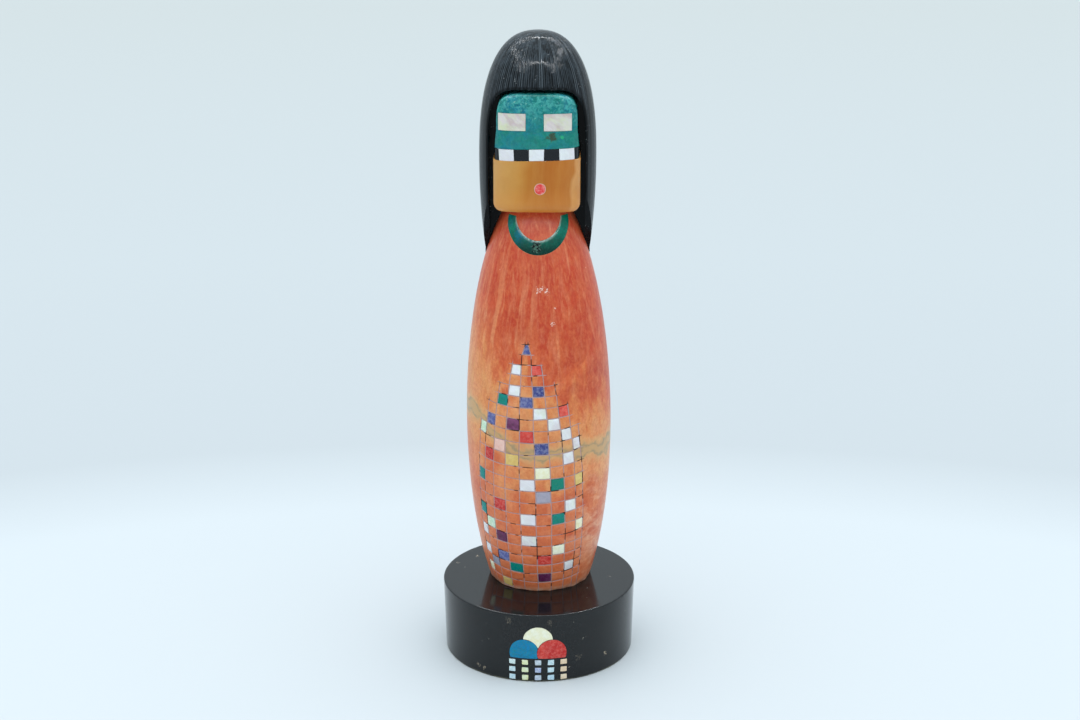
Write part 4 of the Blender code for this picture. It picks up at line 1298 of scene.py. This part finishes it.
# %% Hair
ROLL, STRAND_CUT = 1.4 * MM, 0.11 * MM
FADE_FROM, FADE_TO, CROWN_FADE = 0.9 * MM, 1.8 * MM, 10 * MM
radius = hair_radius(heights, -np.cos(turns)[None, :])
x, y = radius * np.sin(turns), -radius * np.cos(turns)
z = heights + 0 * x
u = x * math.cos(-HEAD_TURN) - y * math.sin(-HEAD_TURN)
off = np.where(y < 0, off_outline(u, z, recess), 1.0)
fade = smooth_step(FADE_FROM, FADE_TO, off) * smooth_step(0.0, CROWN_FADE, radius)
cut = dips * (0.75 + 0.25 * ripple(turns, 4, 9, 30)) * fade * (0.35 + 0.65 * radius / HAIR_RADIUS)
radius = radius - cut * STRAND_CUT
rolled = ROLL - np.sqrt(ROLL**2 - np.clip(ROLL - off, 0, ROLL) ** 2)
x, y = radius * np.sin(turns), -radius * np.cos(turns) + np.where(y < 0, rolled, 0.0)
solid = skin(np.stack([x, y, z], -1), (0, 6 * MM, HAIR_LOW), (0, 0, HAIR_TOP))
hair = make_piece("hair_stone", stood(solid), hair_stone)
paint(hair, "groove", [*np.clip(cut, 0, 1).ravel(), 0, 0])
print("hair points:", len(hair.data.vertices))

# %% [markdown]
# Three cuts finish the hood: the recess for the face, the slope that ends the two side locks
# behind the shoulders, and the room for the body, a hair wider than the body itself.

# %% Recess for the face, ends of the locks, and clearance for the body
CLEAR, CLEAR_LOW, CLEAR_POINTS, CLEAR_ROWS, CLEAR_TURN = 0.12 * MM, 60 * MM, 240, 60, 0.31


def flat(depth):
    """An upright plane, as a front or a back for a slab."""
    return lambda u, v, extra=0.0: np.stack(np.broadcast_arrays(u, depth + extra, v), -1)


ahead, back = flat(-2 * HAIR_RADIUS), flat(RECESS_BACK)
edge = np.array(recess).T
solid = skin([back(*edge), ahead(*edge)], back(0, 0.1), ahead(0, 0.1))
carve(hair, make_piece("recess", stood(solid, HEAD_TURN)))

under = HAIR_LOW - 1 * MM
side = [(-FAR, LOCK_TOP), (-LOCK_FRONT, LOCK_TOP), (LOCK_BACK, LOCK_LOW), (LOCK_BACK, under), (-FAR, under)]
carve(hair, crossbar("lock_ends", side, (-30 * MM, 140 * MM)))

spin = 2 * math.pi * (np.arange(CLEAR_POINTS) + CLEAR_TURN) / CLEAR_POINTS
levels = np.linspace(CLEAR_LOW, NECK + CLEAR, CLEAR_ROWS)[:, None]
reach = body_radius(np.minimum(levels, NECK)) + CLEAR
rings = np.stack([reach * np.sin(spin), -reach * np.cos(spin), levels + 0 * spin], -1)
clearance = make_piece("clearance", stood(skin(rings, (0, 0, CLEAR_LOW), (0, 0, NECK + CLEAR))))
carve(clearance, bed_wedge("hair_bed", CLEAR))
carve(hair, clearance)
stand_for(hair, "black_hair", "hair")
print("hair points after the cuts:", len(hair.data.vertices))

# %% [markdown]
# ## The head
#
# Slabs of stone are stacked in the arch and ground to one curved front: chin, band and mask. They
# were glued first and ground together, which is why the curve runs on over every joint. So one
# function gives the front of them all.

# %% Curved front of the head
HEAD_FRONT, HEAD_CURVE, HEAD_POWER = 19 * MM, 6 * MM, 2.6
CHIN_HALF, CHIN_LOW, CHIN_HEIGHT, CHIN_ROUND = 17 * MM, 159.2 * MM, 21.3 * MM, 4.3 * MM
BAND_HEIGHT, BAND_PITCH, FACE_HALF = 4.5 * MM, 5.85 * MM, 16.4 * MM
MASK_HALF, MASK_SPRING, MASK_HEIGHT = 15.7 * MM, 7 * MM, 21.6 * MM
MASK_POWER, MASK_ROUND = 4.0, 1.5 * MM
BAND_LOW = CHIN_LOW + CHIN_HEIGHT
MASK_LOW = BAND_LOW + BAND_HEIGHT
HALF_JOINT = 0.03 * MM
TILT = math.tan(math.radians(1.2))
MANY = (0.995, 0.985, 0.965, 0.94, 0.9, 0.84, 0.76, 0.65, 0.5, 0.33, 0.16)


def curled(round_off, past):
    """How far a surface curls back, by how far it is past the start of a rounded edge."""
    past = np.clip(past, 0, round_off)
    return round_off - np.sqrt(round_off**2 - past**2)


def face_front(half_width, low=None, proud=0.0, high=None):
    """Front of a slab. It can curve back at its foot, and at its head under the outline high(u)."""
    def place(u, v, depth=0.0):
        across = np.clip(np.abs(u) / half_width, 0, 1)
        bulge = HEAD_CURVE * (1 - across**HEAD_POWER) ** (1 / HEAD_POWER)
        tuck = 0.0
        if low is not None:
            tuck = curled(CHIN_ROUND, low + CHIN_ROUND - v)
        if high is not None:
            tuck = curled(MASK_ROUND, MASK_ROUND - (high(u) - v))
        return np.stack(np.broadcast_arrays(u, HEAD_CURVE - HEAD_FRONT - bulge + tuck + depth - proud, v), -1)

    return place


def leaning(outline, joint):
    """Points near a joint follow its slight tilt."""
    return np.array([(u, v + TILT * u if abs(v - joint) < 0.3 * MM else v) for u, v in outline])


def head_piece(name, solid, material=None):
    """A piece that turns with the head."""
    return make_piece(name, stood(solid, HEAD_TURN), material)


behind_face = flat(RECESS_BACK - JOINT)
print("the head's slabs go from", round(CHIN_LOW, 4), "to", round(MASK_LOW + MASK_HEIGHT, 4), "m")

# %% [markdown]
# The chin's lower corners are rounded, and so is its lower edge, like a real chin. Its outline is
# written side by side, with points close enough for the curved front.

# %% Chin
high = BAND_LOW - HALF_JOINT
corner, spring = CHIN_HALF - CHIN_ROUND, CHIN_LOW + CHIN_ROUND
quarter = np.radians(np.linspace(0, 90, 11))
outline = [(-CHIN_HALF, high + (spring - high) * i / 12) for i in range(12)]
outline += [(-corner - CHIN_ROUND * math.cos(a), spring - CHIN_ROUND * math.sin(a)) for a in quarter]
outline += [(corner * (i / 12 - 1), CHIN_LOW) for i in range(1, 24)]
outline += [(corner + CHIN_ROUND * math.sin(a), spring - CHIN_ROUND * math.cos(a)) for a in quarter]
outline += [(CHIN_HALF, spring + (high - spring) * i / 12) for i in range(1, 12)]
outline += [(CHIN_HALF * (1 - i / 16), high) for i in range(32)]
middle = (0, (CHIN_LOW + high) / 2)
chin_front = face_front(CHIN_HALF, CHIN_LOW)
solid = slab(leaning(outline, high), middle, chin_front, behind_face, 0.2 * MM, scales=MANY)
chin = head_piece("chin_stone", solid, chin_stone)
print("points round the chin:", len(outline))

# %% [markdown]
# The mouth is a coral disc in a drilled hole, with a pale ring of glue round it. The glue is
# painted on the disc's sides and on the outermost of its front.

# %% Mouth
MOUTH, MOUTH_RADIUS, MOUTH_DEPTH = (1.4 * MM, CHIN_LOW + 10.2 * MM), 2.27 * MM, 3 * MM


def round_outline(centre, radius, seed, count=48):
    """A circle drawn by hand."""
    turn = np.linspace(0, 2 * math.pi, count, endpoint=False)
    radius = radius * (1 + 0.012 * ripple(turn, seed, 5))
    return np.stack([centre[0] + radius * np.cos(turn), centre[1] + radius * np.sin(turn)], 1)


disc = round_outline(MOUTH, MOUTH_RADIUS, 2)
carve(chin, head_piece("pocket", plug(disc, MOUTH, chin_front, MOUTH_DEPTH, 0.03 * MM)))
stand_for(chin, "honey_onyx", "chin")
solid = slab(
    disc, MOUTH, chin_front, deeper(chin_front, MOUTH_DEPTH), 0.05 * MM,
    crown=0.1 * MM, scales=(0.96, 0.92, 0.6, 0.3),
)
mouth = head_piece("mouth_disc", solid, mouth_stone)
paint(mouth, "glue_and_highlight", [*np.repeat([1, 1, 1, 1, 1, 1, 0, 0, 0], len(disc)), 1, 0])
stand_for(mouth, "coral_red", "mouth")
print("chin points:", len(chin.data.vertices))

# %% [markdown]
# The band is a row of small blocks, jet and pearl by turns. Each was sawn by hand, so no two sides
# are quite square, and no two fronts are quite level.

# %% Band of blocks
BLOCKS, BLOCK_GAP, BLOCK_CORNER, BLOCK_CROWN = 7, 0.035 * MM, 0.12 * MM, 0.02 * MM
BLOCK_SLANT, BLOCK_PROUD = 0.12, 0.05
chances = random.Random(31)
half = BAND_PITCH * (BLOCKS - 2) / 2
joints = [-FACE_HALF, *(-half + BAND_PITCH * i for i in range(BLOCKS - 1)), FACE_HALF]
slants = [0.0, *(chances.uniform(-BLOCK_SLANT, BLOCK_SLANT) * MM for i in range(BLOCKS - 1)), 0.0]
low, high = BAND_LOW + HALF_JOINT, MASK_LOW - HALF_JOINT
for i in range(BLOCKS):
    left = joints[i] + (BLOCK_GAP if i else 0)
    right = joints[i + 1] - (BLOCK_GAP if i < BLOCKS - 1 else 0)
    corners = [(left - slants[i], low), (right - slants[i + 1], low)]
    corners += [(right + slants[i + 1], high), (left + slants[i], high)]
    outline = rounded([(u, v + TILT * u) for u, v in corners], BLOCK_CORNER, 8)
    front = face_front(FACE_HALF, proud=chances.uniform(-BLOCK_PROUD, BLOCK_PROUD) * MM)
    kind = "pearl" if i % 2 else "jet"
    solid = slab(outline, outline.mean(0), front, behind_face, crown=BLOCK_CROWN)
    stand_for(head_piece(f"band_block_{i + 1}", solid, plates[kind]), kind, f"band_{i + 1}_{kind}")
print("blocks of the band:", BLOCKS)

# %% [markdown]
# The mask is one slab of turquoise with a rounded head. Its eyes are plates of pearl shell let into
# square pockets, with a hair of dark shadow round them.

# %% Mask
low = MASK_LOW + HALF_JOINT
outline = arch(MASK_HALF, FACE_HALF, low, MASK_LOW + MASK_SPRING, MASK_LOW + MASK_HEIGHT, MASK_POWER)


def mask_top(u):
    """Height of the mask's rounded head above a point of its width."""
    across = np.clip(np.abs(u) / MASK_HALF, 0, 1)
    return MASK_LOW + MASK_SPRING + (MASK_HEIGHT - MASK_SPRING) * (1 - across**MASK_POWER) ** (1 / MASK_POWER)


mask_front = face_front(FACE_HALF, high=mask_top)
middle = (0, MASK_LOW + MASK_HEIGHT / 2)
solid = slab(leaning(outline, low), middle, mask_front, behind_face, 0.25 * MM, scales=MANY)
mask = head_piece("mask_stone", solid, mask_stone)
print("points round the mask:", len(outline))

# %% Eyes
EYE_WIDTH, EYE_HEIGHT, EYE_DEPTH = 10.7 * MM, 6.7 * MM, 2 * MM
EYE_SPACING, EYE_RISE, EYE_SHIFT = 17.7 * MM, 10.5 * MM, -0.7 * MM
chances = random.Random(41)
for name, side in (("left", -1), ("right", 1)):
    hub = (EYE_SHIFT + side * EYE_SPACING / 2, MASK_LOW + EYE_RISE)
    corners = rectangle(*hub, EYE_WIDTH / 2, EYE_HEIGHT / 2)
    outline = rounded(nudged(corners, 0.06 * MM, chances), 0.25 * MM, 8)
    carve(mask, head_piece("pocket", plug(outline, hub, mask_front, EYE_DEPTH, 0.08 * MM)))
    back = deeper(mask_front, EYE_DEPTH)
    solid = slab(outline, hub, mask_front, back, 0.08 * MM, scales=(0.85, 0.6, 0.3))
    stand_for(head_piece(f"eye_plate_{name}", solid, eye_pearl), "pearl", f"eye_{name}")
stand_for(mask, "turquoise", "mask")
print("mask points:", len(mask.data.vertices))

# %% [markdown]
# ## The necklace
#
# A crescent of green stone is let into the chest and stands very slightly proud of it. It is built
# as a row of sections from its outer to its inner edge, and its face is rounded across. The same
# function, grown by a joint, cuts its bed.

# %% Necklace
NECKLACE_WIDTH, NECKLACE_DROP, NECKLACE_CENTRE = 12 * MM, 11 * MM, 154 * MM
INNER_WIDTH, INNER_DROP, NECKLACE_TOP, NECKLACE_SHIFT = 8.7 * MM, 8.4 * MM, 156.8 * MM, 0.3 * MM
NECKLACE_DEPTH, NECKLACE_PROUD, BED_PROUD = 1.5 * MM, 0.4 * MM, 4 * MM
SECTIONS, ACROSS = 49, 11


def chest(u, v, out):
    """Place above the chest, as seen from the front."""
    radius, u = body_radius(v) + out, u + NECKLACE_SHIFT
    return np.stack([u, -np.sqrt(np.maximum(radius**2 - u**2, 0)), v], -1)


def crescent(grow, proud, depth):
    """Solid between the necklace's two curves, or its bed when it grows."""
    top = NECKLACE_TOP + grow
    swing = math.acos((NECKLACE_CENTRE - top) / NECKLACE_DROP)
    turn = np.linspace(-1, 1, SECTIONS)
    outer_u = (NECKLACE_WIDTH + grow) * np.sin(turn * swing) * (1 + 0.006 * ripple(turn, 3, 6))
    outer_v = NECKLACE_CENTRE - (NECKLACE_DROP + grow) * np.cos(turn * swing)
    inner_u = (INNER_WIDTH - grow) * np.sin(turn * math.pi / 2)
    inner_v = top - (INNER_DROP - grow) * np.cos(turn * math.pi / 2)
    share = 0.5 - 0.5 * np.cos(np.linspace(0, math.pi, ACROSS))[None, :]
    u = outer_u[:, None] + (inner_u - outer_u)[:, None] * share
    v = outer_v[:, None] + (inner_v - outer_v)[:, None] * share
    rise = proud * (1 - np.abs(2 * share - 1) ** 4) ** 0.5 - 0.25 * proud
    face = chest(u, v, rise)
    bed = chest(u[:, [-1, 0]], v[:, [-1, 0]], -depth)
    rings = np.concatenate([face, bed], 1)
    return skin(rings, rings[0].mean(0), rings[-1].mean(0))


solid = stood(crescent(0.0, NECKLACE_PROUD, NECKLACE_DEPTH))
necklace = make_piece("necklace_stone", solid, necklace_stone, sharp=50)
# the points at the inner edge carry the painted highlight
paint(necklace, "glue_and_highlight", [*([0] * (ACROSS - 3) + [0.3, 1, 1, 0, 0]) * SECTIONS, 0, 0])
bed = crescent(JOINT, BED_PROUD, NECKLACE_DEPTH + JOINT)
carve(body, make_piece("necklace_bed", stood(bed)))
stand_for(necklace, "malachite", "necklace")
print("necklace points:", len(necklace.data.vertices))

# %% [markdown]
# ## The plinth
#
# The plinth is turned from black marble, with a narrow rounded rim. A plain cylinder would look
# too perfect beside the rest, so a few small nicks along the rims and a slow waviness are worked
# into its rings. The clouds and the squares of rain sit in pockets cut into its side.

# %% Plinth
ROUND_POINTS, RIM, SIDE_MARGIN = 384, 0.5 * MM, 1.2 * MM
WAVINESS, RIM_NICKS, NICK_DEPTH = 0.02 * MM, 16, 0.35


def plinth_radius(height):
    """Radius of the plinth, which widens a little towards its top."""
    return PLINTH_RADIUS - PLINTH_TAPER * (1 - np.asarray(height, float) / PLINTH_HEIGHT)


rim = [(RIM * (1 - math.sin(a)), RIM * (1 - math.cos(a))) for a in np.radians((0, 22, 45, 68, 90))]
side = np.linspace(SIDE_MARGIN, PLINTH_HEIGHT - SIDE_MARGIN, 15)
profile = [*rim, *((0.0, z) for z in side)]
profile += [(inset, PLINTH_HEIGHT - lift) for inset, lift in reversed(rim)]
profile += [(inset, PLINTH_HEIGHT) for inset in (1 * MM, 3 * MM, 12 * MM, 24 * MM)]
insets, levels = np.array(profile).T

spin = 2 * math.pi * np.arange(ROUND_POINTS) / ROUND_POINTS
reach = (plinth_radius(levels) - insets)[:, None] * np.ones((1, ROUND_POINTS))
on_side = (insets <= RIM)[:, None]
reach -= on_side * (WAVINESS * (1 + ripple(spin, 5, 6)))[None, :]
chances = random.Random(51)
for nick in range(RIM_NICKS):
    turn, size = chances.uniform(0, 2 * math.pi), chances.uniform(0.3, 0.9) * MM
    around = PLINTH_RADIUS * np.angle(np.exp(1j * (spin - turn)))[None, :]
    above = (levels - nick % 2 * PLINTH_HEIGHT)[:, None]
    reach -= NICK_DEPTH * size * np.clip(1 - np.hypot(around, above) / size, 0, 1) * on_side
rings = np.stack([reach * np.sin(spin), -reach * np.cos(spin), levels[:, None] + 0 * reach], -1)
plinth = make_piece("plinth_stone", skin(rings, (0, 0, 0), (0, 0, PLINTH_HEIGHT)), plinth_stone)
print("plinth points:", len(plinth.data.vertices))

# %% [markdown]
# Three clouds overlap above the rain: red coral at the right, a blue disc cut by it, and a cream
# disc cut by both. Each outline is found by looking out from a hub inside the cloud, in every
# direction, until its own edge, the flat floor or another disc is met.


# %% Plates let into the plinth
def plinth_front(u, v, depth=0.0):
    """Place on the plinth's side, from the distance round it and the height."""
    radius = plinth_radius(v) - depth
    angle = u / PLINTH_RADIUS
    return np.stack(np.broadcast_arrays(radius * np.sin(angle), -radius * np.cos(angle), v), -1)


PLATE_THICK = 1.5 * MM
holes = []


def set_in_plinth(name, outline, hub, stone, slot, node, tint, crown):
    """A plate in the plinth's side. Its hole is kept for later."""
    back = deeper(plinth_front, PLATE_THICK)
    solid = slab(outline, hub, plinth_front, back, 0.08 * MM, crown)
    stand_for(tinted(make_piece(name, solid, plates[stone]), tint), slot, node)
    holes.append(plug(outline, hub, plinth_front, PLATE_THICK))


# %% Clouds
CLOUD_MIDDLE, CLOUD_RADIUS, CLOUD_SPACING, CLOUD_FLOOR = -0.4 * MM, 6.1 * MM, 11.6 * MM, 10.5 * MM
CLOUD_RISE, CLOUD_TOP, CLOUD_GAP = 2.3 * MM, 8 * MM, 0.16 * MM
NOTHING_MET = 1.0


def cloud(hub, centre, seed, floor=None, bites=()):
    """Disc seen from a hub inside it, cut by a flat floor and by the discs that overlap it."""
    turn = np.linspace(0, 2 * math.pi, 120, endpoint=False)
    way = np.stack([np.cos(turn), np.sin(turn)], 1)
    size = CLOUD_RADIUS * (1 + 0.008 * ripple(turn, seed, 6))

    def crossing(other, radius, sign):
        gap = np.asarray(other) - np.asarray(hub)
        along = way @ gap
        square = along**2 - gap @ gap + radius**2
        hit = along + sign * np.sqrt(np.maximum(square, 0))
        return np.where((square > 0) & (hit > 0), hit, NOTHING_MET)

    reach = crossing(centre, size, 1)
    if floor is not None:
        down = (floor - hub[1]) / np.minimum(way[:, 1], -1e-6)
        reach = np.minimum(reach, np.where(way[:, 1] < 0, down, NOTHING_MET))
    for other in bites:
        reach = np.minimum(reach, crossing(other, CLOUD_RADIUS + CLOUD_GAP, -1))
    return np.asarray(hub) + way * reach[:, None]


left = (CLOUD_MIDDLE - CLOUD_SPACING / 2, CLOUD_FLOOR + CLOUD_RISE)
right = (CLOUD_MIDDLE + CLOUD_SPACING / 2, CLOUD_FLOOR + CLOUD_RISE)
top = (CLOUD_MIDDLE, CLOUD_FLOOR + CLOUD_TOP)
aside = (left[0] - CLOUD_RADIUS / 8, left[1] + CLOUD_RADIUS / 8)
raised = (top[0], top[1] + CLOUD_RADIUS / 4)
for side, stone, tint, hub, *form in (
    ("right", "coral_red", 0.1, right, right, 1, CLOUD_FLOOR),
    ("left", "blue_turquoise", 0.15, aside, left, 2, CLOUD_FLOOR, [right]),
    ("top", "shell", 0.25, raised, top, 3, None, [left, right]),
):
    outline = cloud(hub, *form)
    set_in_plinth(f"cloud_plate_{side}", outline, hub, stone, stone, f"cloud_{side}", tint, 0.03 * MM)
print("plates in the plinth:", len(holes))

# %% [markdown]
# The rain falls in five columns of three small squares. Each column was sawn from one strip of
# shell, so its three squares share a colour.

# %% Rain
RAIN_WIDTH, RAIN_HEIGHT, RAIN_ACROSS, RAIN_DOWN = 2.6 * MM, 2.2 * MM, 5.38 * MM, 3.4 * MM
RAIN_FALL, LAST_COLUMN_WIDER = 0.7 * MM, 0.03
RAIN_STONES = ["blue_shell", "sea_shell", "lilac_shell", "blue_shell", "tan_shell"]
chances = random.Random(61)
for row in range(3):
    for column, stone in enumerate(RAIN_STONES):
        u = CLOUD_MIDDLE + RAIN_ACROSS * (column - 2)
        v = CLOUD_FLOOR - RAIN_FALL - RAIN_HEIGHT / 2 - RAIN_DOWN * row
        wider = LAST_COLUMN_WIDER if column == 4 else 0
        half = RAIN_WIDTH * (0.5 + chances.uniform(-0.02, 0.03) + wider)
        corners = nudged(rectangle(u, v, half, RAIN_HEIGHT / 2), 0.1 * MM, chances)
        outline = rounded(corners, chances.uniform(0.15, 0.4) * MM)
        spot = f"r{row + 1}_c{column + 1}"
        set_in_plinth(
            f"rain_plate_{spot}", outline, outline.mean(0), stone, "shell", f"rain_{spot}",
            tints.random(), 0.02 * MM,
        )
for hole in holes:
    carve(plinth, make_piece("hole", hole))
stand_for(plinth, "black_marble", "plinth")
print("plates in the plinth:", len(holes))

# %% [markdown]
# ## Floor, light and camera
#
# The figure stands on a pale table that fills the view. A painted pool of light makes the table a
# little lighter in an oval round the figure, as under a real light tent.

# %% Floor
FLOOR_SIZE, TABLE_MIDDLE, TABLE_OVAL, TABLE_REACH = 60, (0, 0.15, 0), (0.67, 1.0, 1.0), 2.0
bpy.ops.mesh.primitive_plane_add(size=FLOOR_SIZE, location=(0, 0, 0))
floor = bpy.context.object
floor.name = "floor"
floor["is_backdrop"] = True
table = bpy.data.materials.new("table")
table.use_nodes = True
tree = table.node_tree
shader = tree.nodes["Principled BSDF"]
place = add_node(tree, "TexCoord").outputs["Object"]
oval = vector_node(tree, "MULTIPLY", vector_node(tree, "ADD", place, TABLE_MIDDLE), TABLE_OVAL)
away = add_node(tree, "VectorMath", {0: oval}, operation="LENGTH").outputs["Value"]
# the ramp paints the pool of light: lighter near the figure, darker farther out
colour = ramp(tree, remap(tree, away, 0.0, TABLE_REACH), [
    (0.00, (201, 204, 206)), (0.15, (200, 203, 205)), (0.195, (185, 188, 190)),
    (0.39, (187, 190, 191)), (1.0, (185, 187, 185)),
])
link_colour(tree, shader, colour)
shader.inputs["Roughness"].default_value = 0.7
shader.inputs["Specular IOR Level"].default_value = 0.2
floor.data.materials.append(table)
print("floor:", FLOOR_SIZE, "m wide")

# %% [markdown]
# A bright even surround does nearly all the lighting, so the shadows stay soft. It is brighter
# along the horizon and overhead. Four long lamps hang in a ring above the figure. They are left
# out of the diffuse light and out of the camera's view, and show only in the reflections: they are
# why the crown of the head carries a pale oval line.

# %% Surround
world = bpy.data.worlds.new("studio")
world.use_nodes = True
tree = world.node_tree
upward = axes(tree, add_node(tree, "TexCoord").outputs["Generated"])["Z"]
even = remap(tree, upward, 0.0, 0.5, 0.68, 0.955)
even = plus(tree, even, remap(tree, upward, 0.0, 0.1, 0.2, 0.0))
overhead = remap(tree, upward, 0.5, 0.9, 0.0, 1.5)
sky = tree.nodes["Background"]
tree.links.new(plus(tree, even, overhead), sky.inputs["Strength"])
sky.inputs["Color"].default_value = (0.82, 0.92, 0.98, 1.0)
bpy.context.scene.world = world
print("surround:", world.name)

# %% Lamps
LAMP_HEIGHT, LAMP_WIDTH, LAMP_WATTS, LAMP_COLOUR = 0.60, 0.007, 1.5, (0.97, 0.99, 1.0)
for name, x, y, tip, roll, width, length in (
    ("lamp_left", -0.36, -0.11, 0, -25, LAMP_WIDTH, 0.62),
    ("lamp_right", 0.36, -0.11, 0, 25, LAMP_WIDTH, 0.62),
    ("lamp_front", 0, -0.31, 22, 0, 0.72, LAMP_WIDTH),
    ("lamp_back", 0, 0.20, -20, 0, 0.72, LAMP_WIDTH),
):
    light = bpy.data.lights.new(name, "AREA")
    light.shape, light.size, light.size_y = "RECTANGLE", width, length
    light.energy, light.color = LAMP_WATTS, LAMP_COLOUR
    item = bpy.data.objects.new(name, light)
    item.location = (x, y, LAMP_HEIGHT)
    item.rotation_euler = (math.radians(tip), math.radians(roll), 0)
    item.visible_camera, item.visible_diffuse = False, False
    bpy.context.scene.collection.objects.link(item)
    item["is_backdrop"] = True
    print("lamp:", name, "at", tuple(round(part, 2) for part in item.location))

# %% [markdown]
# The camera looks slightly down, from three quarters of a metre in front. Its lens, place and tilt
# were solved from the round plinth's edges in the photograph.

# %% Camera
LENS, SENSOR, CAMERA_PLACE, CAMERA_TILT = 66.67, 36, (0.00043, -0.77135, 0.37795), 71.84
camera = bpy.data.objects.new("camera", bpy.data.cameras.new("camera"))
camera.data.lens, camera.data.sensor_width, camera.data.sensor_fit = LENS, SENSOR, "HORIZONTAL"
camera.location = CAMERA_PLACE
camera.rotation_euler = (math.radians(CAMERA_TILT), 0, 0)
bpy.context.scene.collection.objects.link(camera)
bpy.context.scene.camera = camera
bpy.context.scene.view_settings.view_transform = "Standard"
print("camera:", LENS, "mm lens at", CAMERA_PLACE)

# %% [markdown]
# Last, the size of the dressed figure is printed.

# %% Sizes and end
low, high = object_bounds()
print("size:", [round(high[i] - low[i], 5) for i in range(3)])
